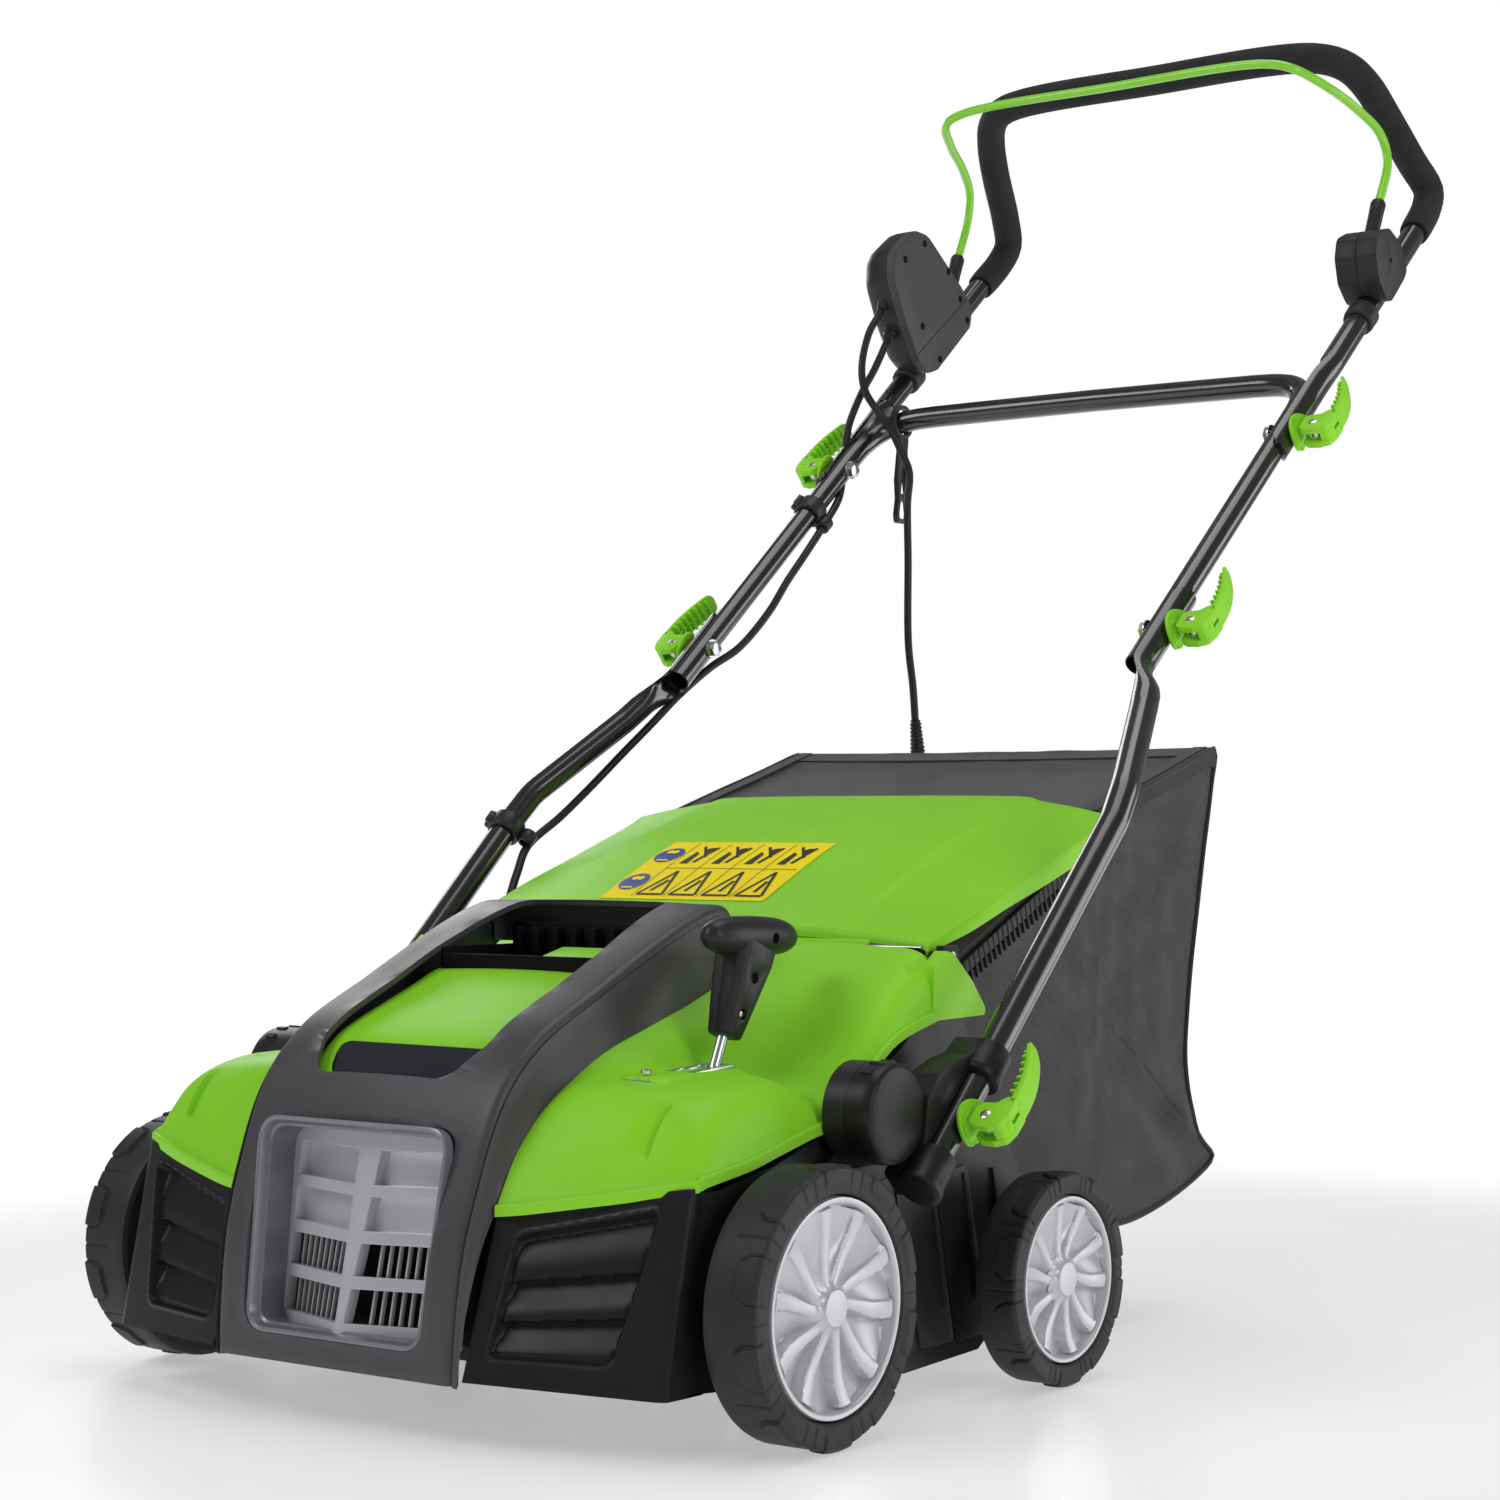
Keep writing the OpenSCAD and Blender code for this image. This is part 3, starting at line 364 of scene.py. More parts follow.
def tube(path, r, sides=20, cap=0.0):
    """A round tube along a path; r may be a list, one radius for each point.

    A cap rounds off both ends by a smaller ring, that far out.
    """
    pts = [Vector(p) for p in path]
    tangents = [(pts[min(i + 1, len(pts) - 1)] - pts[max(i - 1, 0)]).normalized()
                for i in range(len(pts))]
    u = tangents[0].cross(Vector((1, 0.03, 0.02)))
    if u.length < 0.1:
        u = tangents[0].cross(Vector((0, 1, 0)))
    rings = []
    for i, (p, t) in enumerate(zip(pts, tangents)):
        u = (u - t * u.dot(t)).normalized()
        w = t.cross(u)
        ri = r[i] if isinstance(r, (list, tuple)) else r
        rings.append([p + ri * (a * u + b * w) for a, b in circle(1, sides)])
    if cap:
        for end, at, way in ((0, pts[0], -tangents[0]), (-1, pts[-1], tangents[-1])):
            ring = [at + (p - at) * 0.7 + way * cap for p in rings[end]]
            if end == 0:
                rings.insert(0, ring)
            else:
                rings.append(ring)
    return loft(rings)


def hollow_tube(path, r, inner, sides=20):
    """A tube open at both ends, with a visible wall."""
    outer, inside = tube(path, r, sides)[0], tube(path, inner, sides)[0]
    m = len(path)
    rings = [outer[i * sides:(i + 1) * sides] for i in range(m)]
    rings += [inside[i * sides:(i + 1) * sides] for i in range(m - 1, -1, -1)]
    v, f = loft(rings, caps=False)
    for k in range(sides):
        a, b = (m * 2 - 1) * sides + k, (m * 2 - 1) * sides + (k + 1) % sides
        f.append((a, b, (k + 1) % sides, k))
    return v, f


def block(x0, x1, y0, y1, z0, z1):
    """A box between two corners."""
    return prism([(y0, z0), (y1, z0), (y1, z1), (y0, z1)], x0, x1)


def placed(vf, origin, across, up, out):
    """Moves a shape drawn in (x across, y up, z out) to a place in the machine."""
    o, a, b, c = Vector(origin), Vector(across), Vector(up), Vector(out)
    return [o + p[0] * a + p[1] * b + p[2] * c for p in vf[0]], vf[1]


def slab_xy(outline, z0, z1):
    """An outline in local x and y from z0 to z1."""
    return loft([[(x, y, z0) for x, y in outline], [(x, y, z1) for x, y in outline]])


def looped(points):
    """One half of a line, from the left end to X = 0, and its mirrored other half."""
    return list(points) + [(-p[0], p[1], p[2]) for p in reversed(points[:-1])]


def new_object(name, v, f):
    """An object with the given vertices, in machine millimetres, and faces."""
    mesh = bpy.data.meshes.new(name)
    mesh.from_pydata([metres(p) for p in v], [], f)
    obj = bpy.data.objects.new(name, mesh)
    bpy.context.scene.collection.objects.link(obj)
    return obj


def face_outwards(mesh, merge=None):
    """Turns every face of a mesh outwards, and first merges vertices that meet."""
    bm = bmesh.new()
    bm.from_mesh(mesh)
    if merge:
        bmesh.ops.remove_doubles(bm, verts=bm.verts, dist=merge / 1000.0)
    bmesh.ops.recalc_face_normals(bm, faces=bm.faces)
    bm.to_mesh(mesh)
    bm.free()


def build(name, shape, body, materials, replaces=(), bevel=0.0, segments=2,
          angle=40.0, bevel_angle=30.0, solid=0.0, merge=0.01, cutters=()):
    """Makes an object of a shape, finishes its mesh and lets it ride on a body."""
    if isinstance(shape, tuple):
        shape = Shape().add(*shape)
    obj = new_object(name, shape.v, shape.f)
    for mat in materials if isinstance(materials, (list, tuple)) else [materials]:
        obj.data.materials.append(mat)
    obj.data.polygons.foreach_set("material_index", shape.k)
    face_outwards(obj.data, merge)
    if solid:
        mod = obj.modifiers.new("solid", "SOLIDIFY")
        mod.thickness = solid / 1000.0
        mod.offset = -1.0
        mod.use_even_offset = True
    for cutter in cutters:
        mod = obj.modifiers.new("cut", "BOOLEAN")
        mod.operation = "DIFFERENCE"
        mod.solver = "EXACT"
        mod.object = cutter
    if bevel:
        mod = obj.modifiers.new("bevel", "BEVEL")
        mod.width = bevel / 1000.0
        mod.segments = segments
        mod.limit_method = "ANGLE"
        mod.angle_limit = math.radians(bevel_angle)
        mod.use_clamp_overlap = True
    if obj.modifiers:
        graph = bpy.context.evaluated_depsgraph_get()
        final = bpy.data.meshes.new_from_object(obj.evaluated_get(graph))
        obj.modifiers.clear()
        obj.data = final
    for cutter in cutters:
        bpy.data.objects.remove(cutter)
    obj.data.shade_smooth()
    obj.data.set_sharp_from_angle(angle=math.radians(angle))
    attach(obj, body)
    if replaces:
        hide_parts(*replaces)
    return obj


def cutter(vf):
    """A hidden solid that build cuts out of a piece and then deletes."""
    obj = new_object("cutter", *vf)
    face_outwards(obj.data)
    obj.hide_render = True
    return obj


def lerp(a, b, t):
    return a + (b - a) * t


def along(points, t):
    """A point on a polyline at t from 0 to 1 of its point count, smoothed."""
    n = len(points) - 1
    s = max(0.0, min(1.0, t)) * n
    i = min(int(s), n - 1)
    f = s - i
    p0 = points[max(i - 1, 0)]
    p1, p2 = points[i], points[i + 1]
    p3 = points[min(i + 2, n)]
    return tuple(0.5 * ((2 * b) + (c - a) * f + (2 * a - 5 * b + 4 * c - d) * f * f
                        + (3 * b - a - 3 * c + d) * f ** 3)
                 for a, b, c, d in zip(p0, p1, p2, p3))


def screw(shape, at, out, r=3.6, high=1.6, k=0):
    """A pan-head screw with a cross recess; out is the way that it faces."""
    w = Vector(out).normalized()
    u = w.cross(Vector((0.3, 0.5, 0.8))).normalized()
    v = w.cross(u)
    rings = []
    for rr, h in ((r, -0.6), (r, high * 0.45), (r * 0.86, high * 0.8), (r * 0.5, high),
                  (0.3 * r, high), (0.24 * r, high - 0.7), (0.01, high - 0.7)):
        rings.append([Vector(at) + w * h + rr * (a * u + b * v) for a, b in circle(1, 20)])
    shape.add(*loft(rings), k)


# ---------------------------------------------------------------- camera, floor, lights

camera_data = bpy.data.cameras.new("camera")
camera_data.sensor_width = 36.0
camera_data.lens = 73.44
camera_data.clip_end = 50.0
camera = bpy.data.objects.new("camera", camera_data)
bpy.context.scene.collection.objects.link(camera)
heading, tilt = math.radians(37.160), math.radians(-1.272)
back = Vector((math.sin(heading) * math.cos(tilt), -math.cos(heading) * math.cos(tilt),
               math.sin(tilt)))
right = Vector((math.cos(heading), math.sin(heading), 0))
up = back.cross(right)
camera.matrix_world = Matrix.Translation(metres((1424.70, -1752.45, 398.07))) @ Matrix(
    (right, up, back)).transposed().to_4x4()
bpy.context.scene.camera = camera


def lamp(name, at, target, size, power):
    """A white area lamp, in metres and watts, that faces its target."""
    data = bpy.data.lights.new(name, "AREA")
    data.shape = "RECTANGLE"
    data.size, data.size_y = size
    data.energy = power
    obj = bpy.data.objects.new(name, data)
    bpy.context.scene.collection.objects.link(obj)
    obj.location = at
    obj.rotation_euler = (Vector(target) - Vector(at)).to_track_quat("-Z", "Y").to_euler()


lamp("key", (-1.3, -2.4, 2.5), (0, -0.1, 0.35), (1.4, 1.4), 30)
lamp("top", (0.2, 0.2, 3.0), (0, 0, 0.4), (2.0, 1.6), 22)
lamp("side", (3.0, -0.9, 1.3), (0.1, 0, 0.4), (0.9, 1.6), 20)
lamp("sheen", (2.5, 2.3, 0.9), (0.2, 0.1, 0.4), (1.6, 1.8), 24)
lamp("rim", (-2.4, 1.2, 1.6), (0, 0.1, 0.5), (1.2, 1.0), 14)

world = bpy.data.worlds.new("studio")
world.use_nodes = True
world_nodes, world_links = world.node_tree.nodes, world.node_tree.links
world_nodes["Background"].inputs["Color"].default_value = (1, 1, 1, 1)
# The camera sees white, while the world lights the machine only a little
ray = world_nodes.new("ShaderNodeLightPath").outputs["Is Camera Ray"]
level = add_node(world_nodes, world_links, "ShaderNodeMapRange", To_Min=0.22, To_Max=1.0,
                 Value=ray)
world_links.new(level.outputs["Result"], world_nodes["Background"].inputs["Strength"])
bpy.context.scene.world = world
bpy.context.scene.view_settings.view_transform = "Standard"

floor_mat, floor_nodes, floor_links, floor_shader = new_material("floor")
floor_shader.inputs["Roughness"].default_value = 0.22
floor_shader.inputs["Emission Color"].default_value = (1, 1, 1, 1)
# The floor fades into the white background away from the machine
FADE_FROM, FADE_TO = 0.7, 1.5
spot = floor_nodes.new("ShaderNodeTexCoord").outputs["Object"]
reach = add_node(floor_nodes, floor_links, "ShaderNodeVectorMath", "LENGTH", _0=spot)
for target, near, far, curve in (("Emission Strength", 0.42, 1.0, "SMOOTHSTEP"),
                                 ("Base Color", 0.78, 0.0, "LINEAR")):
    fade = add_node(floor_nodes, floor_links, "ShaderNodeMapRange", From_Min=FADE_FROM,
                    From_Max=FADE_TO, To_Min=near, To_Max=far, Value=reach.outputs["Value"])
    fade.interpolation_type = curve
    floor_links.new(fade.outputs["Result"], floor_shader.inputs[target])
floor_mesh = bpy.data.meshes.new("floor")
floor_mesh.from_pydata([(-9, -9, 0), (9, -9, 0), (9, 9, 0), (-9, 9, 0)], [], [(0, 1, 2, 3)])
floor_mesh.materials.append(floor_mat)
floor = bpy.data.objects.new("floor", floor_mesh)
bpy.context.scene.collection.objects.link(floor)
floor.location = (0, 0, -0.0008)


# ---------------------------------------------------------------- wheels

FRONT_AXLE, REAR_AXLE = (-182.0, 90.0), (97.0, 75.0)


def ease(x, low, high):
    t = max(0.0, min(1.0, (x - low) / (high - low)))
    return t * t * (3 - 2 * t)


def tread_shape(at, r, inner_x, rim_r, side):
    """The wheel: a wide tread whose raised blocks wrap over the outer edge.

    A row is (x, radius, kind), with kind 1 on the tread, 2 on the outer wall and 0 plain.
    """
    segs, blocks = 720, 10
    outer = 305.0
    rows = [(inner_x + 4, rim_r + 1, 0), (inner_x + 1, rim_r + 4, 0), (inner_x, r - 6, 0),
            (inner_x + 1.5, r - 2.6, 0)]
    rows += [(x, r - 1.8, 1) for x in (inner_x + 4, inner_x + 8, inner_x + 12)]
    x = inner_x + 15.0
    while x < outer - 3:
        rows.append((x, r - 1.8, 1))
        x += 1.4
    rows += [(outer - 2.4, r - 1.9, 1), (outer - 1.4, r - 2.4, 1), (outer - 0.7, r - 3.4, 2)]
    rows += [(outer - 0.5, r - 4.5 - 1.3 * i, 2) for i in range(6)]
    rows += [(outer - 0.6, r - 13.2, 2), (outer - 1.0, rim_r + 2.4, 0),
             (outer - 2.2, rim_r + 1.0, 0), (outer - 7, rim_r + 0.3, 0),
             (outer - 20, rim_r + 0.2, 0)]
    rings = []
    for x, radius, kind in rows:
        ring = []
        for k in range(segs):
            a = 360.0 * k / segs
            off = (a % (360 / blocks)) - 180 / blocks
            arc = abs(off) * math.pi / 180 * r
            if kind == 1:
                depth, limit = outer - x, 17.0
                half = 15.0 - 0.55 * max(0.0, depth - 9)
            else:
                depth, limit, half = r - 2 - radius, 10.5, 15.0
            edge = min(half - arc, limit - depth)
            raised = 1.7 * ease(edge, -0.1, 0.9)
            groove = -0.9 * math.exp(-((edge + 0.9) / 0.8) ** 2)
            mid = -0.9 * math.exp(-((180 / blocks - abs(off)) * math.pi / 180 * r / 0.8) ** 2)
            lift = push = 0.0
            if kind == 1:
                lift = raised + groove + (mid if depth < 26 else 0)
            elif kind == 2:
                lift, push = 0.5 * raised, 0.45 * raised + groove * 0.7 + mid * 0.8
            rr = radius + lift
            ca, sa = math.cos(math.radians(a)), math.sin(math.radians(a))
            ring.append((side * min(outer, x + push), at[0] + rr * ca, at[1] + rr * sa))
        rings.append(ring)
    shape = Shape().add(*loft(rings, caps=False))
    back = [(outer - 20, rim_r + 0.4), (286, rim_r), (286, 14), (290, 14), (290, 8),
            (inner_x + 1, 8), (inner_x + 1, 14), (inner_x + 2, 15), (282, 16),
            (282, rim_r - 2), (inner_x + 6, rim_r), (inner_x + 4, rim_r + 1)]
    shape.add(*loft([turned(side * x, rr, at, 96) for x, rr in back], caps=False))
    for k in range(10):
        a = 2 * math.pi * k / 10 + 0.2
        o = (0, at[0], at[1])
        rib = slab_xy([(14, -1.2), (rim_r - 0.5, -1.2), (rim_r - 0.5, 1.2), (14, 1.2)],
                      inner_x + 6, 283)
        shape.add(*placed(rib, o, (0, math.cos(a), math.sin(a)),
                          (0, -math.sin(a), math.cos(a)), (side, 0, 0)))
    return shape


def cap_shape(at, rim_r, side):
    """The silver disc: a light rim, ten swept spokes in five pairs and a domed centre."""
    segs = 360
    scale = rim_r / 70.5
    radii = [0.02, 4, 8, 10, 11.4, 12.4, 14, 16, 18, 20.5]
    radii += [20.5 + 2.2 * i for i in range(1, 20)] + [63.4, 64.4, 65.4, 66.0, 67.4, 69.4,
                                                      70.2]
    starts = [math.radians(72 * pair + turn) for pair in range(5) for turn in (0, 33)]
    rings = []
    for base in radii:
        rr = base * scale if base > 20 else base
        u = base / 66.0
        top_x = 298.6 + 4.0 * (abs(u - 0.45) / 0.55) ** 2
        ring = []
        for k in range(segs):
            a = 2 * math.pi * k / segs
            if base < 11.5:
                x = 303.4 - 0.5 * (base / 11) ** 2
            elif base < 13:
                x = 301.2
            elif base > 66.5:
                x = {67.4: 304.0, 69.4: 303.7}.get(base, 300.0)
            elif base > 64:
                x = lerp(294.0, 303.4, ease(base, 63.6, 66.2))
            else:
                sweep = a + 0.26 * math.sin(2.2 * u)
                wide = (5.2 + 7.4 * u) * scale / rr
                back = min((sweep - start) % (2 * math.pi) for start in starts)
                ahead = min((start - sweep) % (2 * math.pi) for start in starts)
                crest = top_x if base > 16 else lerp(301.0, top_x, (base - 13) / 3)
                if back < wide:
                    tilt = back / wide
                    x = crest - 0.7 * (2 * tilt - 1) ** 2
                else:
                    run = (back - wide) / max(1e-6, back - wide + ahead)
                    deep = lerp(1.6, 8.6, run ** 0.8) * ease(u, 0.14, 0.5)
                    x = crest - 0.6 - deep * ease(u, 0.1, 0.3)
                    x += (crest - 0.6 - x) * ease(1.1 - ahead * rr, 0, 1.1)
            ring.append((side * x, at[0] + rr * math.cos(a), at[1] + rr * math.sin(a)))
        rings.append(ring)
    edge = [turned(side * x, rr * scale, at, segs)
            for x, rr in ((300.0, 70.2), (288, 70.3), (287, 68))]
    return Shape().add(*loft(rings, caps=False)).add(*loft(edge, caps=False))


for place, at, r, inner_x, rim_r in (("front", FRONT_AXLE, 90.0, 263.0, 70.5),
                                     ("rear", REAR_AXLE, 75.0, 271.0, 58.5)):
    for side_name, side in (("left", 1), ("right", -1)):
        body = f"{place}_{side_name}_wheel_set"
        build(f"{place}_{side_name}_tread", tread_shape(at, r, inner_x, rim_r, side), body,
              TREAD, (f"{place}_{side_name}_wheel",), angle=28)
        build(f"{place}_{side_name}_cap", cap_shape(at, rim_r, side), body, SILVER,
              (f"{place}_{side_name}_hub_cap",), angle=50)


# ---------------------------------------------------------------- nose and hood

HOOD_EDGE = [(-325.6, 40), (-325.1, 60), (-322.8, 90), (-319, 118), (-313, 142), (-305, 166),
             (-294, 196), (-283, 218), (-269, 236), (-253, 250), (-235, 262), (-212, 273),
             (-187, 284), (-160, 297), (-134, 309), (-104, 322), (-80, 331), (-62, 336),
             (-50, 337), (-41, 333), (-36, 322), (-35, 308)]
HOOD_FOOT = [(-322, 38), (-321.5, 50), (-319, 72), (-314, 95), (-307, 118), (-298, 138),
             (-289, 154), (-280, 170), (-270, 186), (-256, 203), (-238, 216), (-218, 229),
             (-195, 241), (-170, 250), (-145, 257), (-116, 266), (-88, 273), (-70, 280),
             (-56, 288), (-46, 294), (-39, 298), (-36, 300)]


def hood_width(t):
    """Half widths of the top edge and of the foot; the nose is narrower than the arch."""
    return lerp(106.0, 111.0, min(1, t * 2)), lerp(108.5, 120.0, min(1, t * 2.2))


HOOD_CORNER = 7         # radius between the hood's side and its top


def hood_rings(steps, inset=0.0):
    """Rings across the hood from its foot to the arch's end, inset for the inner skin."""
    rings = []
    for i in range(steps + 1):
        t = i / steps
        edge, foot = along(HOOD_EDGE, t), along(HOOD_FOOT, t)
        e0, e1 = along(HOOD_EDGE, max(0, t - 0.01)), along(HOOD_EDGE, min(1, t + 0.01))
        way = Vector((e1[0] - e0[0], e1[1] - e0[1])).normalized()
        n = Vector((-way[1], way[0]))
        top_w, foot_w = hood_width(t)
        crown = 2.5 * math.sin(math.pi * min(1, t * 1.1)) + min(1.0, 4 * t)
        half = []
        for s in (0.0, 0.25, 0.5, 0.72, 0.86):
            p = Vector(foot).lerp(Vector(edge), s)
            half.append((lerp(foot_w, top_w + 1.2, s) - inset, p))
        for k in range(6):
            a = k / 5 * math.pi / 2
            p = Vector(edge) - n * HOOD_CORNER * (1 - math.sin(a))
            half.append((top_w + 1 - HOOD_CORNER * (1 - math.cos(a)) - inset, p))
        for x in (92, 84, 60, 30, 0):
            half.append((x * (1 - inset / 110), Vector(edge) + n * crown * (1 - (x / 100) ** 2)))
        pts = [(x, p[0] - n[0] * inset, p[1] - n[1] * inset) for x, p in half]
        rings.append(pts + [(-x, y, z) for x, y, z in reversed(pts[:-1])])
    return rings


def hood_solid():
    outer, inner = hood_rings(84), hood_rings(84, 4.0)
    rings = [a + list(reversed(b)) for a, b in zip(outer, inner)]
    return Shape().add(*loft(rings))


NOSE_O = Vector((0, -323.5, 66))
NOSE_UP = Vector((0, 18.5, 128)).normalized()
NOSE_OUT = Vector((0, -128, 18.5)).normalized()
X_AXIS = Vector((1, 0, 0))


def on_nose(vf):
    """Places a shape drawn across, up and out of the nose's flat front."""
    return placed(vf, NOSE_O, X_AXIS, NOSE_UP, NOSE_OUT)


def nose_outline(grow=0.0):
    pts = [(-80 - grow, -8.5 - grow), (80 + grow, -8.5 - grow), (87 + grow, 135 + grow),
           (-87 - grow, 135 + grow)]
    return rounded(pts, 19 + grow, 10)


PANEL_O = Vector((0, -260, 243))
PANEL_UP = Vector((0, 123, 58)).normalized()
PANEL_OUT = Vector((0, -58, 123)).normalized()


def on_panel(vf):
    return placed(vf, PANEL_O, X_AXIS, PANEL_UP, PANEL_OUT)


nose_cut = cutter(on_nose(slab_xy(nose_outline(), -30, 30)))
panel_cut = cutter(on_panel(slab_xy(rounded(
    [(-60, -24), (60, -24), (75, 6), (76, 130), (66, 228), (-66, 228), (-76, 130),
     (-75, 6)], [18, 18, 30, 60, 16, 16, 60, 30], 8), -26, 60)))
build("hood", hood_solid(), "deck", HOOD, ("front_hood",), bevel=1.6,
      segments=3, angle=48, bevel_angle=42, cutters=(nose_cut, panel_cut))

# The well under the carry handle, with ribs on its rear wall, in near-black that paints the
# shade inside it
well = Shape()
for walls in ((-72, 72, -142, -139, 268, 302), (-74, 74, -139, -62, 268, 270),
              (-74, 74, -64, -60, 270, 322), (-76, -73, -139, -60, 268, 306),
              (73, 76, -139, -60, 268, 306)):
    well.add(*block(*walls))
for i in range(8):
    x = -63 + 18 * i
    well.add(*block(x - 2.5, x + 2.5, -72, -62, 288, 319))
build("hood_well", well, "deck", SHADE_BLACK, (), bevel=0.8)
inner_block = Shape().add(*prism(rounded([(-112, 271), (-78, 276), (-76, 300), (-84, 306),
                                          (-108, 300)], 3, 3), -8, 62))
build("hood_inner_block", inner_block, "deck", GREEN, (), bevel=1.2)

# Grille: a rim, a bevelled reveal and two leaning banks of windows that meet in a ridge
inner = rounded([(-74, -1), (74, -1), (81.5, 129), (-81.5, 129)], 16, 10)
rings = [[(x, y, z) for x, y in outline] for outline, z in (
    (nose_outline(-0.4), -6), (nose_outline(-0.4), 0.7), (nose_outline(-1.6), 1.3),
    (nose_outline(-3.4), 0.6), (nose_outline(-4.2), -1.0), (nose_outline(-5.4), -5.0),
    (nose_outline(-7.2), -6.2), (inner, -32), (inner, -44))]
grille = on_nose(loft(rings, caps=False))
# The rim and reveal take the darker silver, as painted shade on the same silver plastic as the
# banks
build("grille_silver", grille, "deck", SHADED_SILVER, ("grille",),
      angle=32)

# The banks: the ridge leans out at its foot and the outer edges lie deep all the way up
BANK_WIDE, BANK_TALL, BANK_DEEP = 76.0, 126.0, 29.0


def bank(u, v, w):
    """A place on the right bank: u from the ridge outwards, v upwards, w outwards."""
    ridge = lerp(4.0, 18.0, v / BANK_TALL)
    depth = lerp(ridge, BANK_DEEP, u / BANK_WIDE)
    return (u, v - 3.0 * (1 - u / BANK_WIDE), w - depth)


WINDOW_EDGES = [-6.0, 6.5, 28.7, 37.2, 58.2, 66.6, 88.8, 96.8, 119.4, 142.0]
banks = Shape()
places, quads = [], []
for v in WINDOW_EDGES:
    for u in (0.0, lerp(3.4, 10.5, v / BANK_TALL), 73.0, 86.0):
        places += [bank(u, v, 0), bank(u, v, -9)]
for j in range(9):
    for i in range(3):
        a, b, c, d = [2 * (4 * (j + dj) + i + di) for dj, di in
                      ((0, 0), (0, 1), (1, 1), (1, 0))]
        if i == 1 and j % 2:
            for p, q in ((a, b), (b, c), (c, d), (d, a)):
                quads.append((p, q, q + 1, p + 1))
            if j > 4:
                quads.append((a + 1, b + 1, c + 1, d + 1))
        else:
            quads.append((a, b, c, d))
banks.add(*on_nose((places, quads)))
for low, high in (WINDOW_EDGES[1:3], WINDOW_EDGES[3:5]):
    for i in range(8):
        u = 18.0 + 6.7 * i
        corners = [bank(u + du, v, w) for w in (-9, -5.5) for du, v in
                   ((-0.7, low - 1), (0.7, low - 1), (0.7, high + 1), (-0.7, high + 1))]
        banks.add(*on_nose((corners, [(3, 2, 1, 0), (4, 5, 6, 7), (0, 1, 5, 4), (1, 2, 6, 5),
                                      (2, 3, 7, 6), (3, 0, 4, 7)])))
banks.mirror()
build("grille_banks", banks, "deck", SILVER, (), bevel=0.6, angle=30)
# A near-black sheet behind the grille's windows: painted shade seen through them
backing = Shape().add(*on_nose(slab_xy([(-84, -4), (84, -4), (84, 132), (-84, 132)], -52,
                                       -49)))
build("grille_backing", backing, "deck", SHADE_BLACK, (), bevel=0.5)

# Green panel and blank badge, sunk a little below the frame
PANEL_Y = (-275, -139)
PANEL_HEIGHTS = [(221,), (235,), (249,), (257.5,), (264.5,), (271,), (277.5,), (284.5,),
                 (291,)]


def panel_height(x, y):
    """Height of the crowned panel, from its heights at even steps towards the rear."""
    t = (y - PANEL_Y[0]) / (PANEL_Y[1] - PANEL_Y[0])
    return along(PANEL_HEIGHTS, t)[0] + 2.0 * (1 - (x / 78) ** 2)


panel_rows = [[(x, y, panel_height(x, y)) for x in range(-78, 79, 6)]
              for y in (lerp(*PANEL_Y, i / 30) for i in range(31))]
panel = Shape().add(*loft(panel_rows, closed=False))
panel_trim = cutter(on_panel(slab_xy([(-120, 131.5), (120, 131.5), (120, 260),
                                      (-120, 260)], -90, 90)))
build("panel", panel, "deck", GREEN, ("hood_panel",), solid=3.0,
      bevel=0.8, angle=30, cutters=(panel_trim,))

badge_pts = rounded([(-56, -270), (50, -270), (70, -247.5), (-68, -247.5)],
                    [12, 22, 4, 8], 7)
badge_rings = []
for lift, shrink in ((0.2, 0), (1.0, 0), (1.5, 0.6), (1.5, 3)):
    ring = [(x, lerp(y, -258.5, shrink / 12)) for x, y in badge_pts]
    badge_rings.append([(x * (1 - shrink / 66), y, panel_height(x, y) + lift)
                        for x, y in ring])
build("badge", Shape().add(*loft(badge_rings)), "deck", BADGE, ("badge_plate",),
      angle=30)


# ---------------------------------------------------------------- green cover

# Y and Z along the cover's middle strip, and along its side at each X, front to rear
STRIP = [(-72, 284), (-66, 287), (-58, 289), (-50, 292), (-42, 294), (-34, 297), (-26, 299),
         (-16, 302), (-6, 304), (4, 306), (14, 308)]
STRIP_WIDE = 112
SIDE = [
    (117, [(-294, 150), (-291, 156), (-277, 180), (-256, 204), (-227, 224), (-192, 243),
           (-150, 257), (-110, 269), (-70, 282), (-30, 296), (14, 307)]),
    (135, [(-291, 152), (-287, 159), (-270, 190), (-250, 217), (-222, 229), (-190, 235),
           (-150, 243), (-110, 255), (-70, 273), (-30, 292), (14, 308)]),
    (155, [(-286, 155), (-282, 161), (-264, 198), (-243, 223), (-216, 229), (-185, 229.5),
           (-135, 229), (-108, 236), (-70, 262), (-30, 288), (14, 309)]),
    (180, [(-279, 159), (-275, 165), (-259, 200), (-238, 222), (-212, 228), (-185, 229.5),
           (-133, 229), (-106, 224), (-75, 246), (-32, 283), (14, 309)]),
    (205, [(-271, 163), (-267, 169), (-253, 198), (-234, 218), (-208, 226), (-180, 228),
           (-133, 227), (-104, 217), (-78, 236), (-34, 279), (14, 308)]),
    (225, [(-264, 167), (-260, 172), (-249, 195), (-232, 212), (-205, 221), (-175, 224),
           (-135, 222), (-104, 214), (-80, 232), (-36, 276), (14, 307)]),
    (238, [(-259, 169), (-255, 174), (-246, 189), (-231, 203), (-203, 212), (-172, 215),
           (-137, 214), (-106, 210), (-82, 229), (-38, 271), (14, 302)]),
    (245, [(-255, 170), (-252, 174), (-245, 181), (-230, 188), (-201, 195), (-170, 200),
           (-138, 204), (-106, 206), (-82, 223), (-40, 260), (14, 288)]),
    (248, [(-253, 171), (-249, 173), (-242, 174), (-228, 176), (-200, 180), (-169, 187),
           (-138, 194), (-106, 201), (-80, 220), (-40, 249), (14, 264)]),
]


def at_x(table):
    """The lines of a table of (x, [(y, z), ...]) as points in space."""
    return [[(x, y, z) for y, z in line] for x, line in table]


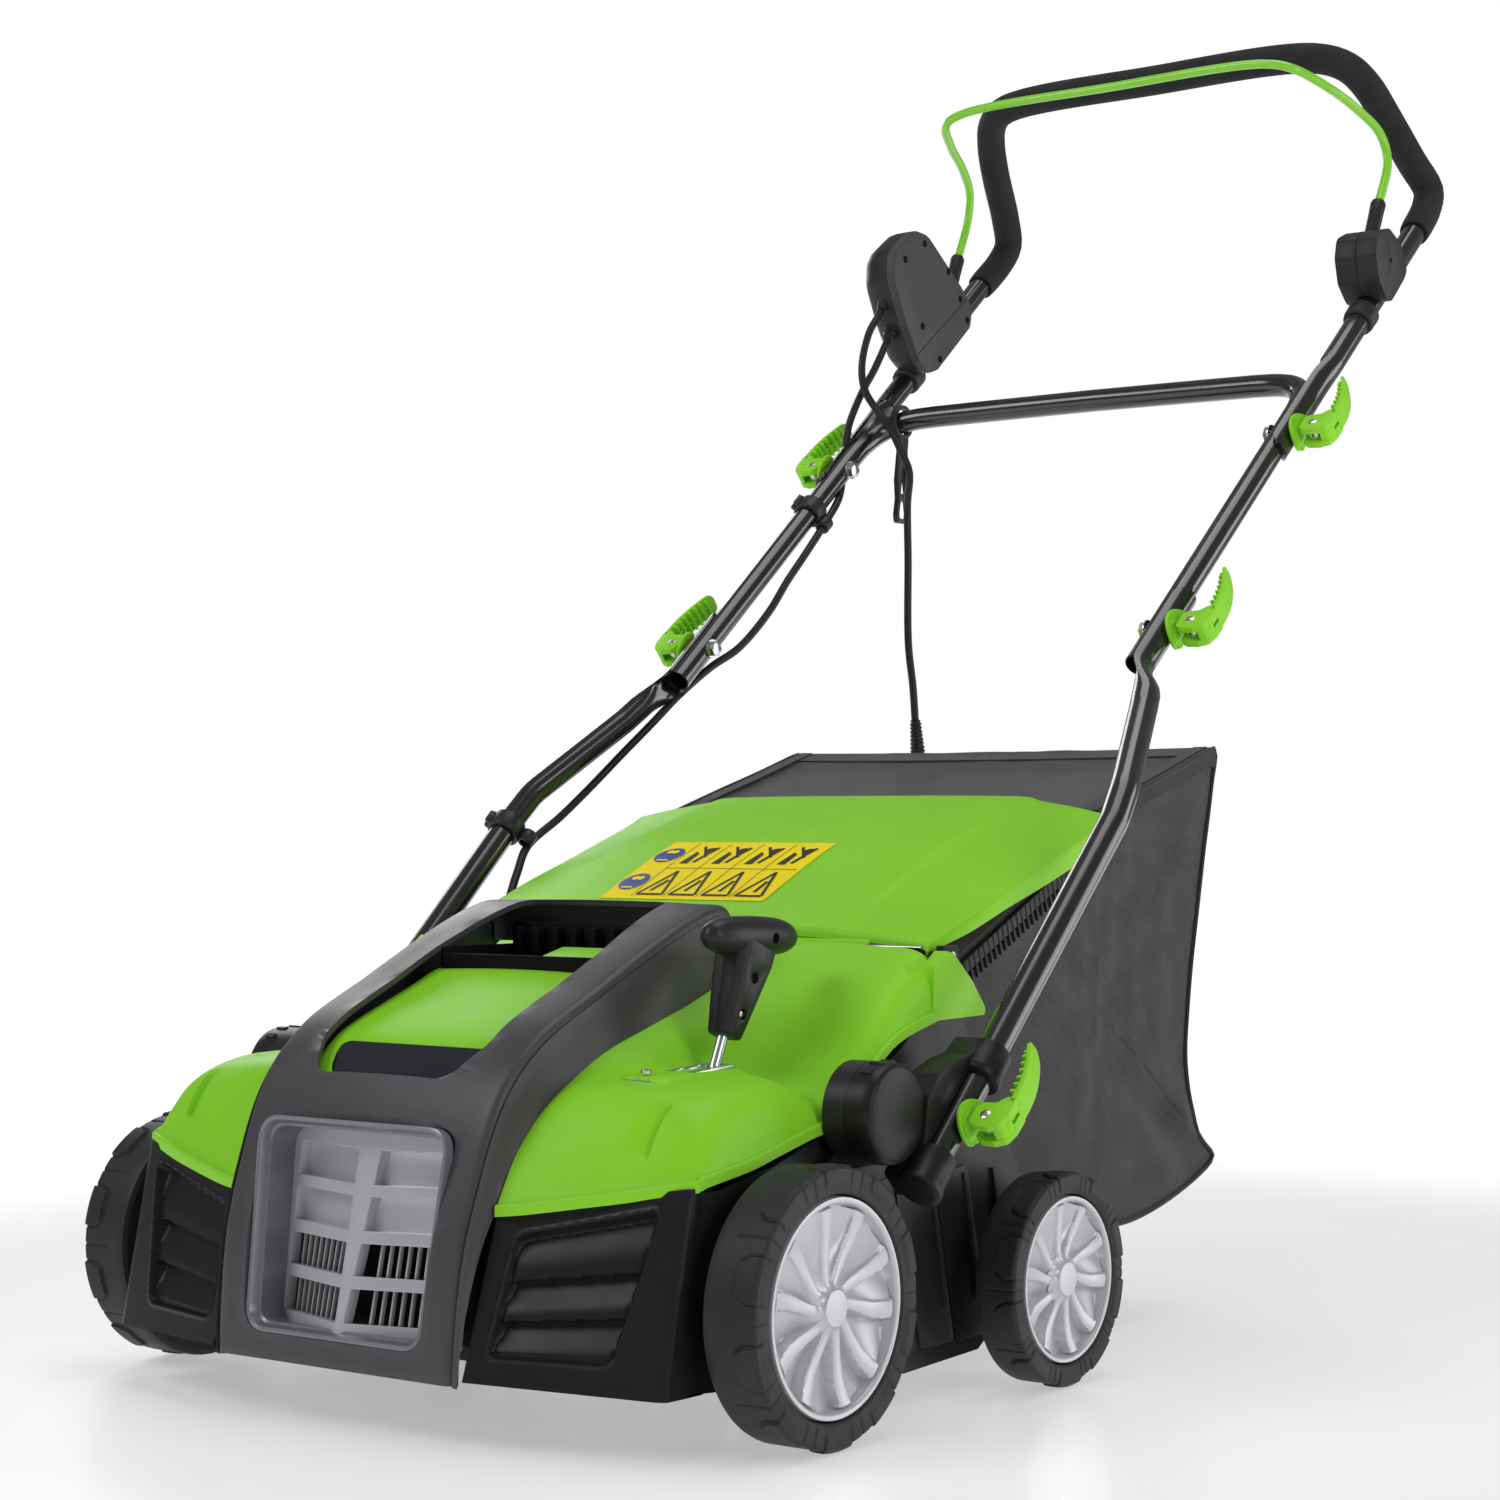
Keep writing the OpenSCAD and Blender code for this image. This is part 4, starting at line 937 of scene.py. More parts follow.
side_lines = at_x(SIDE)


def cover_point(u, t):
    """A place on the cover; u runs over the lines of SIDE and t along them, 0 to 1."""
    x, y, z = along([along(line, t) for line in side_lines], u)
    # Tapered notch in the front slope
    if 196 < x < 212 and 0.15 < t < 0.31:
        depth = 5.0 * (x - 196) / 16 * ease(t * 10, 1.5, 1.7) * (1 - ease(t * 10, 2.7, 3.1))
        y, z = y + depth, z - depth * 0.4
    # Flat for the lever's plate
    if 150 < x < 190 and -218 < y < -122:
        z = lerp(z, 229.6, (1 - ease(abs(x - 170), 15, 20)) * (1 - ease(abs(y + 170), 42, 48)))
    return x, y, z


NU, NT = 72, 110
grid = [[cover_point(i / NU, j / NT) for i in range(NU + 1)] for j in range(NT + 1)]
cover = Shape().add(*loft(grid, closed=False))
# Lip that runs along the lower edge: front, then side
lip_path = [grid[0][i] for i in range(0, NU + 1, 2)] + [grid[j][NU] for j in range(2, NT + 1, 2)]
lip_rings = []
for k, p in enumerate(lip_path):
    out = (0.25, -1) if k <= NU // 2 else (1, 0)
    if abs(k - NU // 2) < 3:
        out = (0.8, -0.6)
    lip_rings.append([(p[0] + out[0] * a, p[1] + out[1] * a, p[2] + b)
                      for a, b in ((-3, 2), (1.0, 2.4), (2.4, 0.8), (2.6, -5.4), (-3, -5.4))])
cover.add(*loft(lip_rings))
cover.add(*loft([[(STRIP_WIDE * i / 8, y, z) for i in range(9)] for y, z in STRIP],
                closed=False))
# Ear beside the flap's hinge
ear = rounded([(8, 262), (10, 296), (24, 306), (34, 304), (58, 284), (75, 264), (74, 259),
               (10, 258)], [1, 3, 5, 5, 8, 4, 2, 1], 4)
cover.add(*prism(ear, 239.5, 248.5))
cover.add(*prism(rounded([(-4, 296), (12, 302), (26, 299), (30, 292), (8, 284), (-8, 288)],
                         3, 4), 150, 238))
# Apron from the cover's rear edge up to the flap
apron = []
for x, low, high in ((0, 307.6, 312.2), (60, 307.6, 312.2), (112, 307.6, 312.2),
                     (135, 307.8, 311.6), (155, 308.8, 311.0), (186, 308.6, 309.2)):
    apron.append([(x, 13.0, low - 0.2), (x, 17.0, lerp(low, high, 0.4)),
                  (x, 19.8, lerp(low, high, 0.6)), (x, 19.8, high - 6)])
cover.add(*loft(apron, closed=False))
cover.mirror()
air = on_nose(slab_xy([(-89, -9), (89, -9), (89, 138), (-89, 138)], -60, 40))
build("cover", cover, "deck", GREEN, ("top_cover",), angle=14, merge=0.05,
      cutters=[cutter(air)])

hinge_rod = Shape().add(*lathe([(187, 1.5), (233, 1.5)], (17.8, 307.6), 20)).mirror()
build("hinge_rod_end", hinge_rod, "deck", STEEL, (), angle=40)
# Flat seat of the depth lever's plate on top of the fender
seat_rings = []
for z, grow in ((212, 22), (222, 14), (228, 8), (230.8, 4), (231.3, 2.6)):
    seat_rings.append([(x, y, z) for x, y in rounded(
        [(157 - grow, -211 - grow), (183 + grow, -211 - grow), (183 + grow, -127 + grow),
         (157 - grow, -127 + grow)], 6 + grow, 6)])
build("plate_seat", loft(seat_rings), "deck", GREEN, (), angle=60)


def plate_place(vf):
    """Places a shape on the line from the front to the rear of the lever's plate."""
    low, high = Vector((170, -217, 227.2)), Vector((170, -129, 232.4))
    way = (high - low).normalized()
    return placed(vf, low, X_AXIS, way, X_AXIS.cross(way))


# Silver plate with a stepped slot for the depth lever's rod, on a near-black strip that paints
# the shade under the slot
plate = plate_place(slab_xy(rounded([(-13, -2), (13, -2), (13, 89), (-13, 89)], 4, 5),
                            -2.0, 1.6))
slot_pts = [(-4.8, 10.5), (4.8, 10.5), (4.8, 86), (-4.8, 86)]
for v in (78, 60, 42, 24):
    slot_pts += [(-4.8, v), (-9.5, v - 1), (-9.5, v - 6), (-4.8, v - 8)]
slot_cut = cutter(plate_place(slab_xy(rounded(slot_pts, 1.6, 3), -6, 4)))
build("lever_index_plate", plate, "deck", STEEL, ("lever_plate",), bevel=0.5,
      angle=40, cutters=(slot_cut,))
gap = plate_place(slab_xy([(-11, 9), (10, 9), (10, 87), (-11, 87)], -2.4, -0.6))
build("lever_index_gap", gap, "deck", SHADE_BLACK, (), bevel=0.3)
plate_screw = Shape()
screw(plate_screw, (170, -213.2, 228.8), (0, -0.06, 1), 3.8, 1.7)
build("lever_index_screw", plate_screw, "deck", STEEL, (), angle=40)
hinge_slot = Shape()
hinge_slot.add(*prism([(14, 303), (20, 302), (20, 306.4), (14, 307.0)], 186, 234)).mirror()
build("hinge_shadow", hinge_slot, "deck", SHADE_BLACK, (), bevel=0.6)

# ---------------------------------------------------------------- bumpers

BUMPER = [Vector((113, -322, 43)), Vector((246, -287, 40)), Vector((245, -261, 168)),
          Vector((116, -291, 149))]
BUMPER_OUT = (BUMPER[3] - BUMPER[0]).cross(BUMPER[1] - BUMPER[0]).normalized()
if BUMPER_OUT.y > 0:
    BUMPER_OUT = -BUMPER_OUT


def recess_depth(s, t):
    """How far inside the recess a place lies, in rough millimetres; below 0 is outside."""
    wide, tall, corner = 132, 124, 7
    a, b = sorted(((s - lerp(0.085, 0.13, t)) * wide, (lerp(0.70, 0.90, t) - s) * wide,
                   (t - 0.15) * tall, (lerp(0.83, 0.93, s) - t) * tall))[:2]
    if a < corner and b < corner:
        return corner - math.hypot(corner - a, corner - b)
    return a


LOUVRES = [0.15, 0.375, 0.60, 0.95]         # where each slat starts, up the recess


def bumper_point(s, t):
    """A place on the bumper; s runs outwards and t upwards, both from 0 to 1."""
    inside = recess_depth(s, t)
    depth = -5.0 * ease(inside, 0, 2.6)
    if inside > 0:
        slant = t - 0.05 * (s - 0.5)
        for low, high in zip(LOUVRES, LOUVRES[1:]):
            if low <= slant < high:
                k = (slant - low) / (high - low)
                depth -= ease(inside, 1.5, 5) * (6.5 * ease(k, 0.12, 0.98) - 1.5)
    rim = 0.9 * math.exp(-((inside + 1.0) / 0.9) ** 2)
    flat = BUMPER[0].lerp(BUMPER[1], s).lerp(BUMPER[3].lerp(BUMPER[2], s), t)
    bend = max(0.0, (s - 0.955) / 0.045)
    return flat + BUMPER_OUT * (depth + rim) + Vector((2.0 * bend, 3.5 * bend * bend, 0))


bumper = Shape()
NS, NV = 120, 120
rows = []
for j in range(NV + 1):
    row = [bumper_point(i / NS, j / NV) for i in range(NS + 1)]
    for n in range(1, 9):
        p = row[NS]
        row.append(Vector((lerp(p.x, 248.5, min(1, n / 3)), lerp(p.y, -250.5, n / 8), p.z)))
    rows.append(row)
bumper.add(*loft(rows, closed=False))
for edge in (0, NV):
    bumper.add(*loft([rows[edge], [p + Vector((0, 12, -2 if edge else 2)) for p in rows[edge]]],
                     closed=False))
bumper.mirror()
build("bumper_pair", bumper, "deck", BLACK, ("bumpers",), angle=38)

# ---------------------------------------------------------------- deck side details

trim = Shape()
for y0, y1 in ((-64, -20), (-16, 26), (30, 70)):
    trim.add(*prism(rounded([(y0 + 12, 34), (y1 + 12, 34), (y1 - 16, 156), (y0 - 16, 150)], 5),
                    244.5, 246.3))
trim.add(*prism(rounded([(-170, 40), (-80, 26), (-92, 148), (-150, 160)], 6), 244.5, 246.0))
trim.mirror()
build("side_panels", trim, "deck", BLACK, (), bevel=0.9)

# ---------------------------------------------------------------- rear flap and label

# Y and Z along the flap from its hinge to its rear lip, at each X
FLAP_MIDDLE = [(25, 313), (27, 319.5), (34, 323), (80, 345), (130, 368), (180, 387),
               (230, 402), (272, 412.5), (290, 416), (293.5, 413), (292, 407)]
FLAP = [
    (0, FLAP_MIDDLE),
    (60, FLAP_MIDDLE),
    (118, [(25, 313), (27, 319.5), (34, 323), (80, 344.5), (130, 367.5), (180, 386.5),
           (230, 401.5), (272, 412), (290, 415.5), (293.5, 413), (292, 407)]),
    (150, [(25, 312), (27, 318.5), (34, 321.5), (80, 342.5), (130, 365), (180, 384),
           (230, 399.5), (272, 410.5), (289, 414.5), (292.5, 412), (291, 406)]),
    (162, [(25, 311), (27, 317), (34, 320), (80, 339), (130, 360.5), (180, 379),
           (229, 395), (270, 407), (287.5, 411.5), (291, 409), (289.5, 403)]),
    (196, [(25, 309), (27, 314.5), (34, 317), (80, 334), (130, 354), (180, 371),
           (226, 386), (265, 399), (284, 406), (288, 404), (286, 398)]),
    (226, [(25, 306), (27, 311), (34, 313), (80, 328), (130, 347), (180, 364),
           (222, 378.5), (260, 391.5), (280, 400), (284, 398), (282, 392)]),
    (231.5, [(25, 305), (27, 309.5), (34, 311), (80, 325), (130, 344), (180, 361),
             (221, 375.5), (258, 388.5), (277, 396.5), (281, 394), (279, 388)]),
    (233, [(25, 303), (27, 305), (34, 306), (80, 317), (130, 333), (180, 348),
           (220, 361), (256, 372), (274, 379), (277, 378), (276, 376)]),
]
flap_lines = at_x(FLAP)
flap_grid = [[along([along(line, j / 60) for line in flap_lines], i / 56) for i in range(57)]
             for j in range(61)]
flap = Shape().add(*loft(flap_grid, closed=False)).mirror()
build("flap_panel", flap, "flap", GREEN, (), angle=44, solid=2.6,
      merge=0.05)
# Knuckle on each side, and the rolled front edge over the hinge
flap_knuckles = Shape()
flap_knuckles.add(*lathe([(212, 3.2), (212, 6), (229, 6), (229, 3.2)], (36, 302), 32))
flap_knuckles.add(*prism([(31, 305), (41, 305), (45, 316), (32, 312)], 212, 229))
flap_knuckles.add(*prism([(26.0, 312.6), (24.2, 311.6), (22.4, 309.6), (21.2, 307),
                          (20.7, 303.5), (20.7, 301), (22.5, 301), (23, 305), (26, 309.5)],
                         -0.5, 184))
flap_knuckles.mirror()
build("flap_knuckles", flap_knuckles, "flap", GREEN, ("rear_flap",),
      bevel=0.8)


def flap_point(x, y, lift=0.0):
    """A place on the flap's top at x and y."""
    n = len(FLAP) - 1
    k = next(i for i in range(n) if abs(x) <= FLAP[i + 1][0] or i == n - 1)
    u = (k + (abs(x) - FLAP[k][0]) / (FLAP[k + 1][0] - FLAP[k][0])) / n
    low, high = 0.1, 0.85
    for _ in range(30):
        t = (low + high) / 2
        p = along([along(line, t) for line in flap_lines], u)
        if p[1] < y:
            low = t
        else:
            high = t
    return (x, y, p[2] + lift)


LABEL_X, LABEL_Y = (-96.0, 62.0), (61.0, 156.0)
LABEL_WIDE, LABEL_TALL = LABEL_X[1] - LABEL_X[0], LABEL_Y[1] - LABEL_Y[0]


def label_patch(shape, outline, lift, k):
    """A thin film on the flap with its corners in label units, 0 to 1 both ways."""
    pts = [(lerp(*LABEL_X, a), lerp(*LABEL_Y, b)) for a, b in outline]
    shape.add([flap_point(x, y, lift) for x, y in pts], [tuple(range(len(pts)))], k)


def disc(a, b, r, n=28):
    """A round outline in label units; r is in millimetres."""
    return [(a + x / LABEL_WIDE, b + y / LABEL_TALL) for x, y in circle(r, n)]


label = Shape()
rows = [[flap_point(lerp(*LABEL_X, i / 24), lerp(*LABEL_Y, j / 12), 0.5) for i in range(25)]
        for j in range(13)]
label.add(*loft(rows, closed=False))


def label_line(a0, b0, a1, b1, wide=0.9, k=1, lift=0.9):
    """A stroke on the label from (a0, b0) to (a1, b1), that many millimetres wide."""
    wx, wy = wide / LABEL_WIDE / 2, wide / LABEL_TALL / 2
    dx, dy = (a1 - a0) * LABEL_WIDE, (b1 - b0) * LABEL_TALL
    nx, ny = -dy / math.hypot(dx, dy), dx / math.hypot(dx, dy)
    steps = 6
    v = []
    for i in range(steps + 1):
        a, b = lerp(a0, a1, i / steps), lerp(b0, b1, i / steps)
        for s in (-1, 1):
            v.append(flap_point(lerp(*LABEL_X, a + s * nx * wx), lerp(*LABEL_Y, b + s * ny * wy),
                                lift))
    label.add(v, [(2 * i, 2 * i + 1, 2 * i + 3, 2 * i + 2) for i in range(steps)], k)


# Ruled boxes, two round signs and four triangles, each over a pair of plain marks
label_line(0.18, 0.5, 0.98, 0.5, 0.6)
for a in (0.18, 0.38, 0.58, 0.78):
    label_line(a, 0.04, a, 0.96, 0.6)
for b in (0.27, 0.73):
    label_patch(label, disc(0.09, b, 12.5), 0.9, 2)
    label_patch(label, disc(0.075, b + 0.05, 3.0), 1.2, 0)
    label_patch(label, disc(0.108, b + 0.05, 3.0), 1.2, 0)
    label_line(0.055, b - 0.10, 0.125, b - 0.10, 2.2, 0, 1.2)
for n in range(4):
    a = 0.28 + 0.2 * n
    tri = [(a - 0.078, 0.07), (a + 0.078, 0.07), (a, 0.45)]
    for p, q in zip(tri, tri[1:] + tri[:1]):
        label_line(*p, *q, 2.6)
    label_line(a - 0.02 + 0.01 * n, 0.13, a + 0.012, 0.30, 3.2)
    label_patch(label, [(a - 0.06, 0.58), (a - 0.01, 0.58), (a - 0.015, 0.76),
                        (a - 0.045, 0.80)], 0.9, 1)
    label_line(a + 0.02, 0.60, a + 0.055, 0.88, 3.4)
    label_line(a - 0.04, 0.90, a + 0.05, 0.70, 2.4)
    label_patch(label, disc(a + 0.028, 0.82, 5.0, 16), 0.9, 1)
build("flap_label", label, "flap", (LABEL, INK, BLUE), (), angle=60,
      merge=0.0001)

# ---------------------------------------------------------------- bag

BAG = [(64, 284), (120, 310), (180, 338), (240, 366), (285, 386), (302, 404), (360, 421),
       (420, 438), (470, 453), (478, 455), (481, 449), (476, 432), (468, 400), (460, 370),
       (453, 340), (446, 310), (439, 280), (433, 245), (429, 208), (434, 178), (441, 160),
       (449, 143), (462, 132), (474, 123), (470, 118), (452, 110), (425, 101), (399, 94),
       (365, 87), (330, 83), (270, 85), (210, 88), (152, 92), (144, 120), (137, 152),
       (112, 182), (88, 212), (76, 248)]


BAG_HALF = 211.0                    # half its width
BAG_MIDDLE = (300, 250)             # middle of its side walls


def bag_slack(x, y, z):
    """How far the cloth hangs off its outline at a place, in Y and in Z."""
    free = 1 - (abs(x) / BAG_HALF) ** 4
    ripple = 2.6 * noise.noise(Vector((x / 46, y / 62, z / 40)))
    ripple += 1.3 * noise.noise(Vector((x / 17 + 9, y / 30, z / 18)))
    if z > 395 or y < 150:
        ripple *= 0.25
    if z < 110 and 150 < y < 470:
        return 0.0, 3.0 * free - ripple
    if y > 425 and 120 < z < 440:
        return 4.0 * free * math.sin(math.pi * (z - 120) / 320) + ripple, 0.0
    if y > 302 and z > 400:
        return 0.0, -(5.0 * free * math.sin(math.pi * min(1, (y - 302) / 176)) + ripple)
    return 0.0, 0.0


def side_fold(side, y, z, s):
    """How far a slack side wall stands out, in X, at s from 0 in its middle to 1."""
    fold = 4.6 * noise.noise(Vector((y / 70, z / 26, side * 3.0))) * (1 - s ** 6)
    if z < 230 and y > 300:
        lean = (y - 300) * 0.5 + (z - 100)
        fold += (3.4 * math.sin(lean / 11.0 + 0.02 * y) * ease(y, 300, 420)
                 * (1 - ease(z, 150, 230)) * (1 - s ** 8))
    drape = 1.6 * noise.noise(Vector((y / 20, z / 60, 5.0))) * (1 - s ** 6)
    puff = 7.0 * (1 - s * s)
    return BAG_HALF - 4 * (1 - s) + puff * 0.2 - 2 + 2 * s + fold + drape


def bag_mesh():
    """The cloth: a band round the outline, open at its mouth, and two slack side walls."""
    outline = []
    for (y0, z0), (y1, z1) in zip(BAG, BAG[1:] + BAG[:1]):
        n = max(1, int(math.hypot(y1 - y0, z1 - z0) / 8))
        outline += [(lerp(y0, y1, k / n), lerp(z0, z1, k / n)) for k in range(n)]
    length = [0.0]
    for a, b in zip(outline, outline[1:]):
        length.append(length[-1] + math.hypot(b[0] - a[0], b[1] - a[1]))
    n = len(outline)
    xs = [-BAG_HALF + 2 * BAG_HALF * i / 52 for i in range(53)]
    verts, uvs, faces = [], [], []
    for x in xs:
        for k, (y, z) in enumerate(outline):
            out_y, out_z = bag_slack(x, y, z)
            verts.append((x, y + out_y, z + out_z))
            uvs.append((length[k] / 1000, x / 1000))
    for i in range(len(xs) - 1):
        for k, (y, z) in enumerate(outline):
            mouth = 62 <= y <= 136 and 152 < z < 284 and (y < 100 or z > 160)
            if not (mouth and k > n * 0.75):
                a, b = i * n + k, i * n + (k + 1) % n
                faces.append((a, b, b + n, a + n))
    # The side walls run in 16 rings from the seam to the middle
    cy, cz = BAG_MIDDLE
    for side in (-1, 1):
        base = 0 if side < 0 else (len(xs) - 1) * n
        previous = list(range(base, base + n))
        for ring in range(1, 17):
            s = 1 - ring / 16
            current = list(range(len(verts), len(verts) + n))
            for y, z in outline:
                y, z = cy + (y - cy) * s, cz + (z - cz) * s
                verts.append((side * side_fold(side, y, z, s), y, z))
            for k in range(n):
                a, b = previous[k], previous[(k + 1) % n]
                c, d = current[(k + 1) % n], current[k]
                faces.append((a, b, c, d) if side > 0 else (d, c, b, a))
            previous = current
    obj = new_object("bag_cloth", verts, faces)
    mesh = obj.data
    layer = mesh.uv_layers.new(name="UVMap")
    for poly in mesh.polygons:
        on_side = abs(poly.normal.x) > 0.7
        for li in poly.loop_indices:
            k = mesh.loops[li].vertex_index
            x, y, z = verts[k]
            layer.data[li].uv = (y / 1000, z / 1000) if on_side or k >= len(uvs) else uvs[k]
    mesh.materials.append(NET)
    mesh.shade_smooth()
    mesh.set_sharp_from_angle(angle=math.radians(60))
    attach(obj, "bag")
    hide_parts("bag_shell")


bag_mesh()

# Hems: a folded band round the open top edge and piping along the side seams
hem = Shape()
band = [(300, 402), (340, 415), (400, 432), (450, 447), (476, 454.5)]
for s in (-1, 1):
    path = [(s * 211.2, y, z) for y, z in BAG[5:33]]
    hem.add(*tube(smooth_path(path, 8), 2.2, 8))
    hem.add(*loft([[(s * 212.6, y, z + 1.4), (s * 213.4, y, z - 12), (s * 210.5, y, z - 12),
                    (s * 206, y, z + 2.2), (s * 194, y, z + 2.0), (s * 194, y, z + 0.8)]
                   for y, z in [along(band, k / 20) for k in range(21)]]))
hem.add(*loft([[(-213 + 426 * k / 24, y, z - 1.6 * math.sin(math.pi * k / 24))
                for y, z in ((455, 449.4), (478, 456.2), (480.2, 454.2), (477.5, 439.2),
                             (474.5, 440.2), (455, 447.8))] for k in range(25)]))
build("bag_hem", hem, "bag", HEM, (), angle=40)

# Two bars along each side of the bag, with a row of teeth across them
clips = Shape()
for k in range(2):
    front, rear = (68, 271 - 13 * k), (282, 371 - 13 * k)
    clips.add(*prism([front, rear, (rear[0] - 3, rear[1] + 9), (front[0] - 3, front[1] + 9)],
                     211.6 - k, 216.4 - k * 1.5))
for k in range(34):
    t = k / 33
    y, z = lerp(70, 280, t), lerp(262, 360, t)
    clips.add(*prism([(y, z), (y + 2, z + 1), (y - 4, z + 18), (y - 6, z + 17)], 212, 217))
clips.mirror()
build("bag_clip_bars", clips, "bag", SWITCH, ("bag_clips",), bevel=0.5)
# ---------------------------------------------------------------- handle tubes

# Centre lines of the tubes and of the bail, from their ends to the middle
LEG = [(292, -68, 159), (292, 180, 396), (288, 202, 419), (256, 286, 482), (250, 303, 497)]
FRAME = [(228, 325, 517), (228, 600, 747), (222, 622, 764), (204, 633, 772), (0, 645, 777)]
HANDLE = [(234, 655, 794), (234, 811, 924), (231, 850, 958), (228, 860, 976),
          (220, 842, 1000), (210, 808, 1038), (202, 788, 1062), (190, 772, 1078),
          (165, 758, 1087), (0, 750, 1089)]
BAIL = [(224.8, 759, 941), (225, 781, 990), (220, 777, 1014), (211, 751, 1032),
        (200, 713, 1047), (182, 678, 1060), (158, 672, 1066), (0, 672, 1068)]
FRAME_WAY = Vector((0, 275, 230)).normalized()
LEG_WAY = (Vector(LEG[1]) - Vector(LEG[0])).normalized()
DECK_BOLT, LOWER_BOLT, UPPER_BOLT, POD = (-30, 194.5), (360, 546), (570, 722), (-93, 204)
CLAMP_TURN = math.radians(40)           # how far the clamps' own axes lean back
LOCAL_Y = Vector((0, math.cos(CLAMP_TURN), math.sin(CLAMP_TURN)))
LOCAL_Z = Vector((0, -math.sin(CLAMP_TURN), math.cos(CLAMP_TURN)))
LEG_R, FRAME_R, HANDLE_R = 11, 10, 10.5


def section(centre, way, radius, pressed, bed, wide=78.0):
    """One ring of a tube whose end is pressed round another one lying at bed."""
    way = Vector(way).normalized()
    w = way.cross(X_AXIS).normalized()
    u = w.cross(way)
    flat_w = FRAME_WAY.cross(X_AXIS)
    ring = []
    n = 14
    for half in (0, 1):
        for k in range(n):
            t = k / (n - 1)
            a = math.radians(-90 + 180 * (t + half))
            b = math.radians(wide * (2 * t - 1) * (1 if half == 0 else -1))
            r = 13.4 if half == 0 else 10.35
            circle = Vector(centre) + radius * (math.cos(a) * u + math.sin(a) * w)
            shell = Vector(bed) + r * (math.cos(b) * X_AXIS + math.sin(b) * flat_w)
            ring.append(circle.lerp(shell, pressed))
    return ring


def bed_at(y):
    """The middle of the frame's straight tube at y."""
    return Vector((228, y, 517 + (y - 325) * 230 / 275))


PRESSED_WIDE = 78.0         # degrees each way that a pressed end wraps round the frame


def pressed_rings(y0, y1, tongue=9.0):
    """Rings of the pressed part from y0 to y1, with a rounded tongue at y1."""
    way = 1 if y1 > y0 else -1
    rings = [(y0 + (y1 - way * tongue - y0) * k / 6, PRESSED_WIDE) for k in range(7)]
    for k in range(1, 7):
        turn = k / 6 * math.pi / 2
        rings.append((y1 - way * tongue * (1 - math.sin(turn)),
                      max(12.0, PRESSED_WIDE * math.cos(turn * 0.96))))
    return [section(bed_at(y), FRAME_WAY, FRAME_R, 1.0, bed_at(y), wide)
            for y, wide in rings]


def leg_tube():
    """A leg from the deck, bent inwards, pressed round the frame at its upper end."""
    path = bent_path(LEG[:4] + [(246, 314, 507)], 60, 10)
    rings = []
    for i, p in enumerate(path[:-1]):
        if p.y > 297:
            break
        way = path[i + 1] - path[max(i - 1, 0)]
        rings.append(section(p, way, LEG_R, 0.0, bed_at(p.y)))
    for k in range(7):
        t = k / 6
        y = lerp(298, 327, t)
        centre = Vector((lerp(251.5, 242, t), y, lerp(492.5, 518.5, t)))
        rings.append(section(centre, FRAME_WAY - 0.2 * (1 - t) * X_AXIS, LEG_R,
                             ease(t, 0, 1), bed_at(y)))
    return Shape().add(*loft(rings + pressed_rings(330, 394)))


def handle_half():
    """The handle tube's lower end, pressed round the frame."""
    rings = pressed_rings(624, 548)[::-1]
    for k in range(1, 7):
        t = k / 6
        y = lerp(626, 655, t)
        centre = Vector((lerp(234.5, 234, t), y, 794 - (655 - y) * 0.8333))
        rings.append(section(centre, FRAME_WAY, HANDLE_R, 1 - ease(t, 0, 1), bed_at(y)))
    return rings


build("leg_tubes", leg_tube().mirror(), "legs", TUBE, ("lower_legs",),
      angle=50)

corner = smooth_path([(228, 560, 713.5), (228, 585, 734.5), (226.5, 604, 749.5),
                      (220, 621, 762), (207, 631, 770), (190, 635.5, 773.5),
                      (168, 637.5, 774.8)], 4)
frame_half = [Vector(FRAME[0])] + corner + [Vector((90, 641.5, 776)), Vector((0, 645, 777))]
frame_line = looped([tuple(p) for p in frame_half])
build("middle_tube", hollow_tube(frame_line, FRAME_R, 8.4, 28), "middle", TUBE,
      ("middle_frame",), angle=50)

handle_shape = Shape().add(*loft(handle_half())).mirror()
handle_line = [Vector((234, 650, 789.8))] + smooth_path(looped(HANDLE[1:]), 7) + [
    Vector((-234, 650, 789.8))]
handle_shape.add(*tube(handle_line, HANDLE_R, 28))
build("handle_tube", handle_shape, "handle", TUBE, ("upper_handle",),
      angle=50)

foam_line = [p for p in smooth_path(looped(HANDLE[1:]), 7)
             if (p - Vector(HANDLE[1])).length > 7
             and (p - Vector((-234, 811, 924))).length > 7]
foam_radii = [13.7] * len(foam_line)
foam_radii[0] = foam_radii[-1] = 13.0
build("foam_sleeve", hollow_tube(foam_line, foam_radii, 10.7, 28), "handle", FOAM,
      ("foam_grip",), angle=60)

# The green bail, and a socket with two studs on each of its ends
bail_shape = Shape().add(*tube(smooth_path(looped(BAIL), 6), 4.0, 18), 0)
socket = Shape()
low, high = Vector((223.4, 737, 890)), Vector((224.9, 763, 950))
socket_way = (high - low).normalized()
points = [low, low + 5 * socket_way, low + 52 * socket_way, high - 3 * socket_way, high]
socket.add(*tube(points, [6.0, 6.2, 6.6, 6.9, 5.6], 24), 1)
side_way = socket_way.cross(X_AXIS).normalized()
for out in (-1, 1):
    at = low + 30 * socket_way + out * 6.0 * side_way
    socket.add(*tube([at, at + out * 1.6 * side_way + 1.0 * socket_way,
                      at + out * 2.6 * side_way + 2.6 * socket_way], [1.9, 2.0, 1.6], 10,
                     cap=0.4), 1)
BAIL_PIN = (735, 885)
socket.add(*lathe([(220.0, 3.4), (220.0, 6.1), (226.2, 6.1), (226.2, 3.4)], BAIL_PIN, 28),
           1)
bail_shape.join(socket.mirror())
build("bail", bail_shape, "bail", (WIRE, SWITCH), ("bail_rod",), angle=45)

# ---------------------------------------------------------------- clamps

